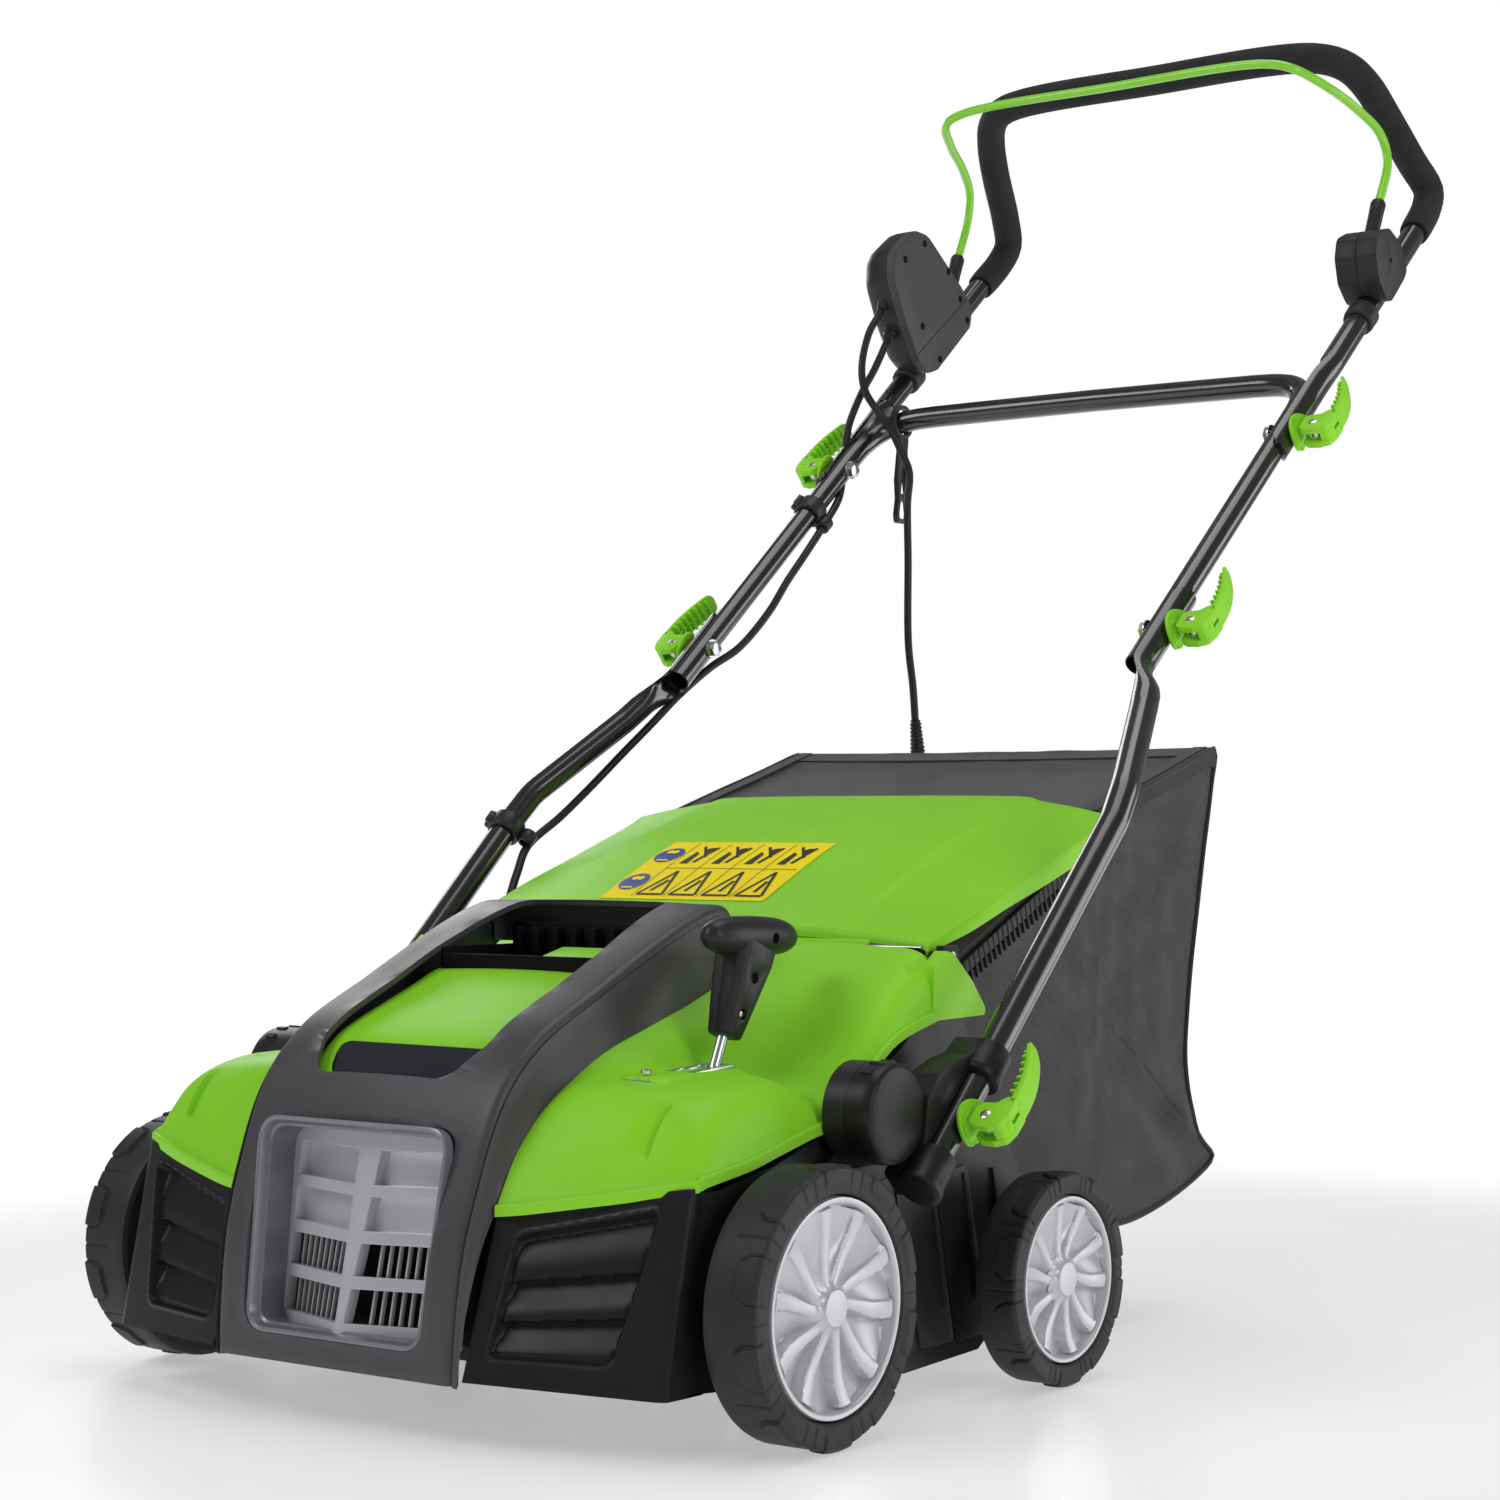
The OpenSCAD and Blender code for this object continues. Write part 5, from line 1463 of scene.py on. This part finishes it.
def at_clamp(vf, x, at):
    """Places a shape drawn across, along and out of the tubes at a clamp."""
    return placed(vf, (x, at[0], at[1]), X_AXIS, LOCAL_Y, LOCAL_Z)


def line_at(line, t, back=0.02):
    """The place on a flat line at t, with the line's tangent and normal there."""
    ax, ay = along(line, min(1, t + 0.02))[:2]
    bx, by = along(line, max(0, t - back))[:2]
    tangent = Vector((ax - bx, ay - by)).normalized()
    return along(line, t)[:2], tangent, Vector((tangent.y, -tangent.x))


def lever_shape(x, at):
    """A cam lever: two cheeks round the pin and a ribbed, slightly curved handle."""
    shape = Shape()
    cheek = rounded([(-9.6, -8), (-4, -11), (6, -11.8), (14.5, -8.5), (17.5, 1), (17.3, 16),
                     (9.5, 17), (4, 11.0), (-6, 10.5), (-9.6, 8)], 4.0, 4)
    for z0, z1 in ((4.4, 9.6), (-9.6, -4.4)):
        shape.add(*at_clamp(slab_xy(cheek, z0, z1), x, at))
    # Bridge across the outer end, which leaves the slot above it
    bridge = rounded([(7, -11.0), (14, -8.4), (17.1, -1.5), (17.4, 2.5), (12.6, 2.5),
                      (10.0, -5)], 1.6, 3)
    shape.add(*at_clamp(slab_xy(bridge, -4.6, 4.6), x, at))
    for z0, z1 in ((1.6, 4.6), (-4.6, -1.6)):
        shape.add(*at_clamp(slab_xy([(12.6, 2), (17.3, 2), (17.1, 15), (11.6, 15)], z0, z1),
                            x, at))
    # Blade: fluted outer face, pockets between ribs on the inner one
    centre = [(14.3, 12), (14.2, 24), (12.6, 37), (9.0, 50), (4.4, 62), (-0.6, 72.5)]
    rings = []
    steps = 26
    for i in range(steps + 1):
        t = i / steps
        (cx, cy), tangent, normal = line_at(centre, t)
        tip = max(0.0, (t - 0.86) / 0.14)
        wide = 9.6 * math.sqrt(max(0.05, 1 - 0.85 * tip ** 2))
        deep = lerp(1.9, 1.3, t) * math.sqrt(max(0.15, 1 - 0.8 * tip ** 2))
        ring = []
        for s in range(13):
            z = lerp(-wide, wide, s / 12)
            dip = 0.45 if s in (3, 6, 9) else 0.0
            swell = 1.2 * (1 - (2 * s / 12 - 1) ** 2)
            rise = deep + swell - dip
            ring.append((cx + normal.x * rise, cy + normal.y * rise, z))
        for s in range(12, -1, -1):
            z = lerp(-wide, wide, s / 12)
            ring.append((cx - normal.x * deep, cy - normal.y * deep, z))
        rings.append(ring)
    shape.add(*at_clamp(loft(rings), x, at))
    for i in range(7):
        base, tangent, normal = line_at(centre, 0.20 + 0.105 * i, 0.0)
        base, high = Vector(base), 6.4 - 0.35 * i
        outline = [base - tangent * 1.6, base + tangent * 1.6,
                   base + tangent - normal * high, base - tangent * 0.6 - normal * high]
        wide = 9.2 if i < 6 else 7.4
        shape.add(*at_clamp(slab_xy([tuple(p) for p in outline], -wide, wide), x, at))
    # Rail under the middle of the blade
    rail = [along(centre, 0.12 + 0.8 * k / 8)[:2] for k in range(9)]
    under = [(px - (5.0 - 0.35 * k), py) for k, (px, py) in enumerate(rail)]
    shape.add(*at_clamp(slab_xy(list(rail) + under[::-1], -1.0, 1.0), x, at))
    return shape


def washer(profile, at, segs=40):
    """A ring turned about X, from a closed loop of (x, radius)."""
    return loft([turned(x, r, at, segs) for x, r in list(profile) + [profile[0]]],
                caps=False)


def saddle_shape(x, at):
    """The oval flange under a cam, curved to lie on the tube."""
    profile = [(0, 4.1), (0, 13), (0.4, 15), (1.6, 16), (3.4, 15.9), (3.6, 15.1), (2.4, 13.9),
               (1.9, 12.4), (1.9, 9.6), (3.2, 9.0), (3.5, 8.2), (3.5, 4.1)]
    v, f = washer([(x + px, r) for px, r in profile], at, 48)
    out = []
    for p in v:
        q = Vector((0, p[1] - at[0], p[2] - at[1]))
        lift, run = q.dot(LOCAL_Z), q.dot(LOCAL_Y)
        out.append((p[0] - 0.011 * lift * lift + 0.004 * run * run, p[1], p[2]))
    shape = Shape().add(out, f)
    tab = rounded([(-3.2, -17.5), (3.2, -17.5), (4.6, -12), (-4.6, -12)], 2.5, 3)
    shape.add(*at_clamp(placed(slab_xy(tab, 0.2, 2.6), (-2.2, 0, 0), (0, 1, 0), (0, 0, 1),
                               (1, 0, 0)), x, at))
    return shape


def bolt_shape(at, head_x, x):
    """A clamp's bolt: hexagon head, washer, shank, and the lever's cross pin at its end."""
    shape = Shape()
    shape.add(*lathe([(head_x, 3.9), (x - 5, 3.9)], at, 24))
    shape.add(*lathe([(head_x - 4.9, 5.6), (head_x - 4.2, 7.2), (head_x + 0.2, 7.4)], at, 6))
    shape.add(*lathe([(head_x + 0.2, 8.4), (head_x + 1.2, 8.4)], at, 28))
    shape.add(*at_clamp(slab_xy(circle(7, 28), -3.9, 3.9), x, at))
    pin = [[(a, b, z) for a, b in circle(r, 24)]
           for z, r in ((-10, 3.0), (-9.6, 3.8), (9.6, 3.8), (10, 3.0))]
    return shape.add(*at_clamp(loft(pin), x, at))


# Name, place, and the X of the lever's pin, of the saddle and of the bolt's head
CLAMPS = (("deck", DECK_BOLT, 319.5, 303.2, 266), ("lower", LOWER_BOLT, 258.5, 242, 217),
          ("upper", UPPER_BOLT, 258.5, 242, 217))
leg_saddle_shape, leg_bolt_shape = Shape(), Shape()
handle_saddle_shape, handle_bolt_shape = Shape(), Shape()
for name, at, pin_x, saddle_x, head_x in CLAMPS:
    for side_name, side in (("left", 1), ("right", -1)):
        lever = lever_shape(pin_x, at)
        if side < 0:
            lever.flip()
        build(f"{side_name}_{name}_lever", lever, f"{side_name}_{name}_cam", GREEN,
              (f"{side_name}_{name}_cam_lever",), bevel=0.7, angle=42,
              bevel_angle=35)
    saddles = handle_saddle_shape if name == "upper" else leg_saddle_shape
    bolts = handle_bolt_shape if name == "upper" else leg_bolt_shape
    saddles.join(saddle_shape(saddle_x, at).mirror())
    bolts.join(bolt_shape(at, head_x, pin_x).mirror())
build("leg_clamp_saddles", leg_saddle_shape, "legs", GREEN, ("leg_saddles",),
      angle=50)
build("handle_clamp_saddles", handle_saddle_shape, "handle", GREEN, ("handle_saddles",),
      angle=50)
build("leg_bolts", leg_bolt_shape, "legs", STEEL, ("leg_clamp_bolts",), angle=35)
build("handle_bolts", handle_bolt_shape, "handle", STEEL, ("handle_clamp_bolts",),
      angle=35)

# ---------------------------------------------------------------- leg brackets

bracket = Shape()
bracket.add(*lathe([(254, 30), (254, 33.2), (262, 33.6), (263, 32.6), (264, 32.6),
                    (265, 33.8), (280, 34), (286.5, 33.2), (288.6, 31.4), (289.2, 29.6),
                    (289.6, 20), (290.2, 0.01)], POD, 96))
for k in range(4):
    a = math.radians(58 + 22 * k)
    tooth = slab_xy([(33.2, -2.2), (35.2, -1.8), (35.2, 1.8), (33.2, 2.2)], 272, 281)
    bracket.add(*placed(tooth, (0, POD[0], POD[1]), (0, math.cos(a), math.sin(a)),
                        (0, -math.sin(a), math.cos(a)), (1, 0, 0)))
build("bracket_pods", bracket.mirror(), "legs", BLACK, (), angle=38)

LEG_UP = X_AXIS.cross(LEG_WAY).normalized()


def on_leg(s, lift):
    """Y and Z of the place s along the leg from its foot and lifted off its centre."""
    p = Vector(LEG[0]) + s * LEG_WAY + lift * LEG_UP
    return p.y, p.z


arm_outline = [on_leg(-8, 6), on_leg(20, 18), on_leg(40, 34), on_leg(62, 36),
               on_leg(84, 26), on_leg(98, 16), on_leg(116, 13), on_leg(116, 11.5),
               on_leg(0, 11.5)]
back_outline = [on_leg(-6, 12), on_leg(114, 12), on_leg(114, -12), on_leg(-6, -12)]
arm = Shape().add(*prism(rounded(arm_outline, 7, 4), 268.4, 291.5))
arm.add(*prism(rounded(back_outline, 3, 3), 268.4, 280.4))
build("bracket_arms", arm.mirror(), "legs", BLACK, (), bevel=1.8, segments=3,
      angle=40)
# Walls beside the tube, the collar above and the cup below
trough = Shape()
for lift0, lift1 in ((12.0, 14.8), (-14.8, -12.0)):
    trough.add(*prism([on_leg(18, lift0), on_leg(92, lift0), on_leg(92, lift1),
                       on_leg(18, lift1)], 279.5, 290.5))
build("bracket_troughs", trough.mirror(), "legs", BLACK, (), bevel=0.9,
      angle=40)


def leg_path(stations):
    return [Vector(LEG[0]) + s * LEG_WAY for s in stations]


def leg_sleeve(stations):
    """A sleeve on the leg, from its (place, radius) stations."""
    return hollow_tube(leg_path([s for s, r in stations]), [r for s, r in stations],
                       LEG_R + 0.1, 48)


collars = Shape()
collars.add(*leg_sleeve([(88, 13.4), (89, 15.6), (92, 16.4), (95, 16.4), (96.5, 15.2),
                         (112, 14.8), (114.5, 14.6), (116, 13.0)]))
collars.add(*leg_sleeve([(-9.9, 15.0), (-9.0, 16.2), (-5.0, 16.4), (-3.5, 15.4), (14, 15.2),
                         (20, 14.8), (22, 12.6)]))
collars.add(*tube(leg_path((-10.4, -10.0, -9.4)), [12.0, 14.6, 15.4], 48))
build("bracket_collars", collars.mirror(), "legs", BLACK, ("leg_brackets",),
      angle=40)

# ---------------------------------------------------------------- depth lever

TILT = math.radians(22.6)
GRIP_AT = Vector((170, -127, 252))
GRIP_Y = Vector((0, math.cos(TILT), -math.sin(TILT)))
GRIP_Z = Vector((0, math.sin(TILT), math.cos(TILT)))


def in_grip(vf):
    """Places a shape drawn on the depth lever, which leans by TILT."""
    return placed(vf, GRIP_AT, X_AXIS, GRIP_Y, GRIP_Z)


# Rod end with a step at its outer edge; a row is (height, half width, front, rear)
stem_rings = []
for z, half_x, front, rear in ((0, 8.6, -7.4, 8.6), (1.5, 9.6, -8.4, 9.8),
                               (20, 11.0, -11.6, 12.8), (40, 12.4, -14.6, 16.0),
                               (56, 13.4, -16.8, 18.8), (66, 13.4, -17.2, 18.8)):
    ring = [(-half_x, rear - 3), (-half_x, front + 3), (-half_x + 3, front),
            (-2.4, front), (-2.0, front + 0.9), (-1.4, front + 0.9), (-1.0, front),
            (half_x - 5.4, front), (half_x - 3.8, front + 1.0), (half_x - 2.2, front + 3.6),
            (half_x - 0.8, front + 4.6), (half_x, front + 6.2), (half_x, rear - 2),
            (half_x - 2, rear), (-half_x + 3, rear)]
    stem_rings.append([(x, y, z) for x, y in ring])
stem = Shape().add(*in_grip(loft(stem_rings)))
hole_cutters = [cutter(lathe([(x - 5.0, 3.9), (x + 6, 3.9)], (y, z), 24))
                for x, y, z in ((183, -108, 290.5), (181, -118.5, 266.5))]
build("lever_stem", stem, "front_axle_set", GRIP, (), bevel=0.5, angle=45,
      cutters=hole_cutters)
grip_rings = []
for k in range(33):
    t = -1 + 2 * k / 32
    radius = (14.0 * (1 - abs(t) ** 4.2) ** 0.42 + 0.05) * (1.0 - 0.10 * t * t)
    grip_rings.append([(170 + 0.96 * a, -97.5 + 48.8 * t,
                        317.6 - 1.8 * t + b * (1.0 if b > 0 else 0.94))
                       for a, b in circle(radius, 48)])
build("lever_cross_grip", loft(grip_rings), "front_axle_set", GRIP, ("lever_grip",),
      angle=60, cutters=[cutter(lathe([(178, 3.8), (190, 3.8)], (-85, 316.5), 24)),
                         cutter(block(167.4, 168.1, -150, -120, 300, 334)),
                         cutter(block(167.4, 168.1, -126, -45, 330.4, 334))])
lever_screw = Shape()
screw(lever_screw, (177.4, -118.5, 266.5), (1, 0, 0), 3.0, 1.8)
build("lever_screw", lever_screw, "front_axle_set", STEEL, (), angle=40)
# ---------------------------------------------------------------- switch box

LID = surface("lid_plastic", (0.052, 0.050, 0.055), 0.42, grain=1300, grain_bump=0.14,
              mottle=0.06, wear=0.2, wear_colour=(0.14, 0.14, 0.15), specular=0.25)
BOX = rounded([(658, 959), (681, 957), (739, 916), (759, 898), (756, 878), (698, 829),
               (682, 824), (666, 834), (644, 866), (623, 907), (624, 934)],
              [22, 22, 30, 10, 10, 10, 10, 12, 30, 26, 22], 9)


TUBE_IN_BOX = [(234, 600, 748.5), (234, 800, 915.2)]
TUBE_WAY = Vector((0, 156, 130)).normalized()


def box_ring(x, size):
    """The box's outline at x, shrunk towards its middle."""
    return [(x, 690 + size * (y - 690), 892 + size * (z - 892)) for y, z in BOX]


def tube_bore(side):
    """Cuts the handle tube's way through a housing."""
    return cutter(tube([(side * x, y, z) for x, y, z in TUBE_IN_BOX], HANDLE_R + 0.2, 32))


def bail_slot(x0, x1):
    """Cuts the room that the bail swings in."""
    return cutter(prism([(727, 884), (744, 990), (818, 958), (741, 877)], x0, x1))


BUTTON_AT = (664, 928)
shell = loft([box_ring(x, size) for x, size in (
    (-214.3, 1.0), (-226, 0.995), (-233, 0.975), (-239, 0.93), (-243.5, 0.87),
    (-247, 0.78), (-249.2, 0.66), (-250, 0.5))])
build("switch_shell", shell, "handle", SWITCH, ("switch_box",), angle=40,
      cutters=[tube_bore(-1), cutter(lathe([(-252, 9.4), (-244, 9.4)], BUTTON_AT, 32)),
               bail_slot(-231, -216)])

SCREW_HOLES = ((675, 948), (642, 928), (716, 927), (737, 903), (749, 884), (701, 840),
               (671, 868))
seam_way = Vector((0, 751.9 - 671.5, 907 - 846.5)).normalized()
seam_side = Vector((0, -seam_way.z, seam_way.y))
seam = placed(slab_xy([(-70, -0.5), (70, -0.5), (70, 0.5), (-70, 0.5)], -0.9, 3),
              (-205, 711, 876.5), seam_way, seam_side, X_AXIS)
lid_cuts = [cutter(seam)]
for at in SCREW_HOLES:
    lid_cuts.append(cutter(lathe([(-211.4, 3.5), (-203, 3.7)], at, 24)))
lid_cuts.append(tube_bore(-1))
lid = loft([box_ring(x, size) for x, size in (
    (-213.9, 1.0), (-207.0, 1.0), (-205.9, 0.994), (-205.2, 0.982), (-205.0, 0.965))])
build("switch_cover", lid, "handle", LID, ("switch_lid",), angle=24,
      cutters=lid_cuts)
lid_screws = Shape()
for at in SCREW_HOLES:
    screw(lid_screws, (-211.2, at[0], at[1]), (1, 0, 0), 2.6, 1.0)
build("switch_screws", lid_screws, "handle", CAN, (), angle=40)

# Collars where the tube passes, cable glands with their boots and the bail's pin
def collar_pair(places, radii, lengths):
    """Collars where the tube leaves a housing, each (place, way out)."""
    shape = Shape()
    for at, way in places:
        path = [Vector(at) + s * way * TUBE_WAY for s in lengths]
        shape.add(*hollow_tube(path, radii, HANDLE_R + 0.12, 40))
    return shape


glands = collar_pair((((-234, 690.2, 823.4), -1), ((-234, 770.0, 889.8), 1)),
                     [14.4, 14.2, 13.6, 12.2], (-8, 5, 8, 9))


def gland(start, end, radii):
    """A ribbed cable boot from start to end."""
    a, b = Vector(start), Vector(end)
    glands.add(*tube([a.lerp(b, k / (len(radii) - 1)) for k in range(len(radii))], radii, 28))


gland((-226, 656, 876.5), (-226, 642.8, 852.7),
      [9.6, 9.6, 9.4, 8.2, 8.0, 6.4, 7.2, 6.0, 6.8, 5.6, 6.2, 4.6])
gland((-226, 642.5, 908), (-226, 632.5, 881.0),
      [8.6, 8.4, 7.2, 6.8, 5.4, 6.2, 5.0, 5.8, 4.7, 5.2, 4.2])
glands.add(*lathe([(-249, 3), (-215, 3)], BAIL_PIN, 20))
build("cable_glands", glands, "handle", SWITCH, (), angle=40)

button = Shape()
button.add(*lathe([(-240.5, 8.0), (-251.0, 8.0), (-252.6, 7.4), (-253.2, 6.2), (-252.5, 4.6),
                   (-252.1, 0.01)], BUTTON_AT, 40), 0)
button.add(*washer([(-250.0, 9.3), (-251.4, 9.3), (-251.4, 12.0), (-250.6, 12.8),
                    (-249.0, 12.8), (-249.0, 9.3)], BUTTON_AT), 1)
build("start_button_cap", button, "button", (RED, SWITCH), ("start_button",),
      angle=40)

# ---------------------------------------------------------------- pivot housing

TEAR = rounded([(700, 908), (722, 917), (745, 907), (758, 889), (753, 876), (723, 849),
                (702, 868), (696, 890)], 11, 5)
for name, x0, x1 in (("inner", 214.2, 233.7), ("outer", 234.3, 254)):
    cuts = [tube_bore(1), bail_slot(216, 231)]
    if name == "outer":
        cuts.append(cutter(lathe([(251.0, 2.2), (256, 2.4)], (726, 889), 20)))
    build(f"pivot_{name}_half", prism(TEAR, x0, x1), "handle", SWITCH,
          ("pivot_housing",) if name == "inner" else (), bevel=2.2,
          segments=3, angle=40, cutters=cuts)
collar = collar_pair((((234, 706.2, 836.8), -1), ((234, 765.0, 885.8), 1)),
                     [14.2, 14.0, 13.4, 12.0], (-8, 4, 7, 8))
collar.add(*lathe([(215, 3), (235, 3)], BAIL_PIN, 20))
build("pivot_collars", collar, "handle", SWITCH, (), angle=40)

# ---------------------------------------------------------------- hook and clips

HOOK_AT = (632.6, 771.8)
hook_ring = washer([(-206, 12.5), (-206, 15.4), (-205.4, 16), (-200.6, 16), (-200, 15.4),
                    (-200, 12.5)], HOOK_AT, 48)
build("hook_ring", hook_ring, "hook", GRIP, (), angle=40)
hook_outline = rounded([(622.5, 676), (642, 676), (643.2, 684), (641.4, 699), (642.5, 716),
                        (638.5, 744), (640.5, 758), (624.5, 758), (627, 744), (622.8, 716),
                        (624.2, 699), (621.4, 684)], 3.0, 3)
window = prism(rounded([(632.7, 738), (627, 703.5), (638.4, 703.5)], 1.6, 3), -210, -196)
loop = prism(rounded([(625.4, 680), (638.6, 680), (639.4, 685), (637.6, 697), (627.4, 697),
                      (624.8, 685)], 2.2, 3), -210, -196)
build("hook_body", prism(hook_outline, -205.8, -200.2), "hook", GRIP, ("cord_hook",),
      bevel=0.9, angle=40,
      cutters=[cutter(window), cutter(loop),
               cutter(lathe([(-210, 12.5), (-196, 12.5)], HOOK_AT, 32))])


def clip_shape(at, way, tube_r, cable_at):
    """A band round the tube with a lug, and a smaller ring round the cable."""
    shape = Shape()
    way = Vector(way).normalized()
    for centre, inner, outer, half in ((Vector(at), tube_r + 0.05, tube_r + 3.4, 8.0),
                                       (Vector(cable_at), 3.9, 6.9, 6.0)):
        steps = [(-half, outer - 1.2), (-half + 0.5, outer - 0.3), (-half + 1.2, outer),
                 (half - 1.2, outer), (half - 0.5, outer - 0.3), (half, outer - 1.2)]
        shape.add(*hollow_tube([centre + s * way for s, _ in steps], [r for _, r in steps],
                               inner, 40))
    gap_way = (Vector(cable_at) - Vector(at))
    gap_way = (gap_way - way * gap_way.dot(way)).normalized()
    side = way.cross(gap_way)
    lug = slab_xy([(-6, 0), (6, 0), (5, 5), (-5, 5)], -2.2, 2.2)
    for sign in (-1, 1):
        origin = Vector(at) - gap_way * (tube_r + 2.2) + side * sign * 3.4
        shape.add(*placed(lug, origin, way, -gap_way, side))
    return shape


build("clip_on_middle", clip_shape((-228, 520, 680.1), FRAME_WAY, 10, (-216, 525, 667.5)),
      "middle", GRIP, ("upper_cable_clip",), bevel=0.3, angle=40)
mirrored_leg_way = Vector((-LEG_WAY.x, LEG_WAY.y, LEG_WAY.z))
build("clip_on_leg", clip_shape((-292, 173.8, 390.1), mirrored_leg_way, 11,
                                (-276, 182, 381)), "legs", GRIP, ("lower_cable_clip",),
      bevel=0.3, angle=40)

# ---------------------------------------------------------------- cables

def free_mesh(name, vf, material):
    """A mesh with no parent, for a piece that runs across a joint."""
    obj = new_object(name, *vf)
    obj.data.materials.append(material)
    obj.data.shade_smooth()
    return obj


CABLE_R = 3.5
MOTOR_CABLE = [(-226, 646, 858.5), (-226, 620, 822), (-230, 606, 800), (-236, 592, 766),
               (-229, 574, 726), (-221, 556, 696), (-216, 525, 667.5), (-215, 492, 636),
               (-216, 468, 612), (-218, 442, 582), (-224, 406, 549), (-232, 376, 531),
               (-238, 338, 505), (-246, 308, 478), (-258, 286, 454), (-270, 262, 428),
               (-276, 226, 400), (-276, 182, 374), (-268, 160, 352), (-256, 130, 320),
               (-250, 96, 290)]
motor_line = smooth_path(MOTOR_CABLE, 5)
cuts = [min(range(len(motor_line)), key=lambda i: (motor_line[i] - Vector(mark)).length)
        for mark in ((-221, 556, 696), (-238, 338, 505))]
for name, node, run, body_a, body_b, start, end in (
        ("motor_cable_top", "motor_cable_upper", motor_line[:cuts[0] + 1],
         "handle", "middle", (-226, 632, 838), (-221, 560, 700)),
        ("motor_cable_run", "motor_cable_middle", motor_line[cuts[0]:cuts[1] + 1],
         "middle", "legs", (-218, 430, 572), (-238, 340, 506)),
        ("motor_cable_end", "motor_cable_lower", motor_line[cuts[1]:],
         "legs", "deck", (-276, 190, 378), (-252, 104, 296))):
    cable = free_mesh(name, tube(run, CABLE_R, 16), CABLE)
    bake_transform(cable)
    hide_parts(node)

SUPPLY = [(-226, 638, 897), (-226.5, 632, 880), (-228, 614, 856), (-227, 601, 822),
          (-222, 599, 800), (-211, 601, 782), (-198, 603, 766), (-188, 610, 740),
          (-182, 614, 722), (-180, 608, 690), (-178, 606, 640), (-175, 602, 560),
          (-172, 605, 520), (-170, 606, 486)]
supply_line = smooth_path(SUPPLY, 5)
supply = free_mesh("supply_cord_run", tube(supply_line, CABLE_R, 16), CABLE)
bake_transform(supply)
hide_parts("supply_cord")
# The plug: a ribbed boot that widens towards a flat body
top, bottom = Vector((-170, 606, 489)), Vector((-168, 608, 449.5))
radii = [4.1, 4.6, 4.7, 5.0, 5.1, 5.5, 5.6, 6.0, 6.1, 6.6, 6.8, 7.6]
stations, sizes = [], []
for k, radius in enumerate(radii):
    stations += [top.lerp(bottom, k / 11), top.lerp(bottom, min(1, (k + 0.55) / 11))]
    sizes += [radius + (1.1 if k < 11 else 0), radius]
plug = Shape().add(*tube(stations, sizes, 28))
body_outline = rounded([(-184, 452), (-154, 452), (-152.4, 440), (-152.4, 410), (-155, 402.5),
                        (-183, 402.5), (-185.6, 410), (-185.6, 440)], 4.5, 4)
plug.add(*loft([[(x, y, z) for x, z in body_outline] for y in (596.4, 619.6)]))
for x in (-177, -161):
    plug.add(*block(x - 3.4, x + 3.4, 597.4, 618.6, 444.0, 453.0))
plug_obj = build("supply_plug_body", plug, "middle", CABLE, ("supply_plug",),
                 bevel=1.4, segments=3, angle=45, bevel_angle=50)

# ---------------------------------------------------------------- fasteners and springs

fasteners = Shape()
screw(fasteners, (170, -208.5, 233.2), (0, 0.03, 1), 3.6, 2.0)
screw(fasteners, (170, -208.5, 233.2), (0, 0.03, 1), 2.0, 0.4)
for x in (-1, 1):
    fasteners.add(*lathe([(238, 3.9), (281, 3.9)], POD, 20, x))
    fasteners.add(*lathe([(236, 6.8), (239, 6.8)], POD, 6, x))
    fasteners.add(*lathe([(290.4, 9.6), (294.4, 9.8), (295, 8.8)], REAR_AXLE, 6, x))
build("deck_screws", fasteners, "deck", STEEL, ("deck_fasteners",), angle=35)

SPRING_TURNS, SPRING_R = 6.5, 4.5
spring_line = []
for k in range(150):
    t = k / 149
    a = 2 * math.pi * SPRING_TURNS * t
    spring_line.append((lerp(197.2, 209.8, t), 36 + SPRING_R * math.cos(a),
                        302 + SPRING_R * math.sin(a)))
build("flap_coil", tube(spring_line, 0.75, 8), "deck", STEEL, ("flap_spring",))

# ---------------------------------------------------------------- finish of the CAD parts

FINISHES = {
    "deck_shell": BLACK, "lever_plate": STEEL, "motor_can": CAN, "motor_shaft": STEEL,
    "drive_belt": BELT, "reel_shaft": REEL, "tine_holders": GRIP, "spring_tines": STEEL,
    "reel_bearings": STEEL, "front_axle": STEEL, "rear_axle": STEEL, "flap_rod": STEEL,
}
for name, finish in FINISHES.items():
    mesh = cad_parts[name].data
    if not mesh.materials:
        mesh.materials.append(finish)
    for i in range(len(mesh.materials)):
        mesh.materials[i] = finish
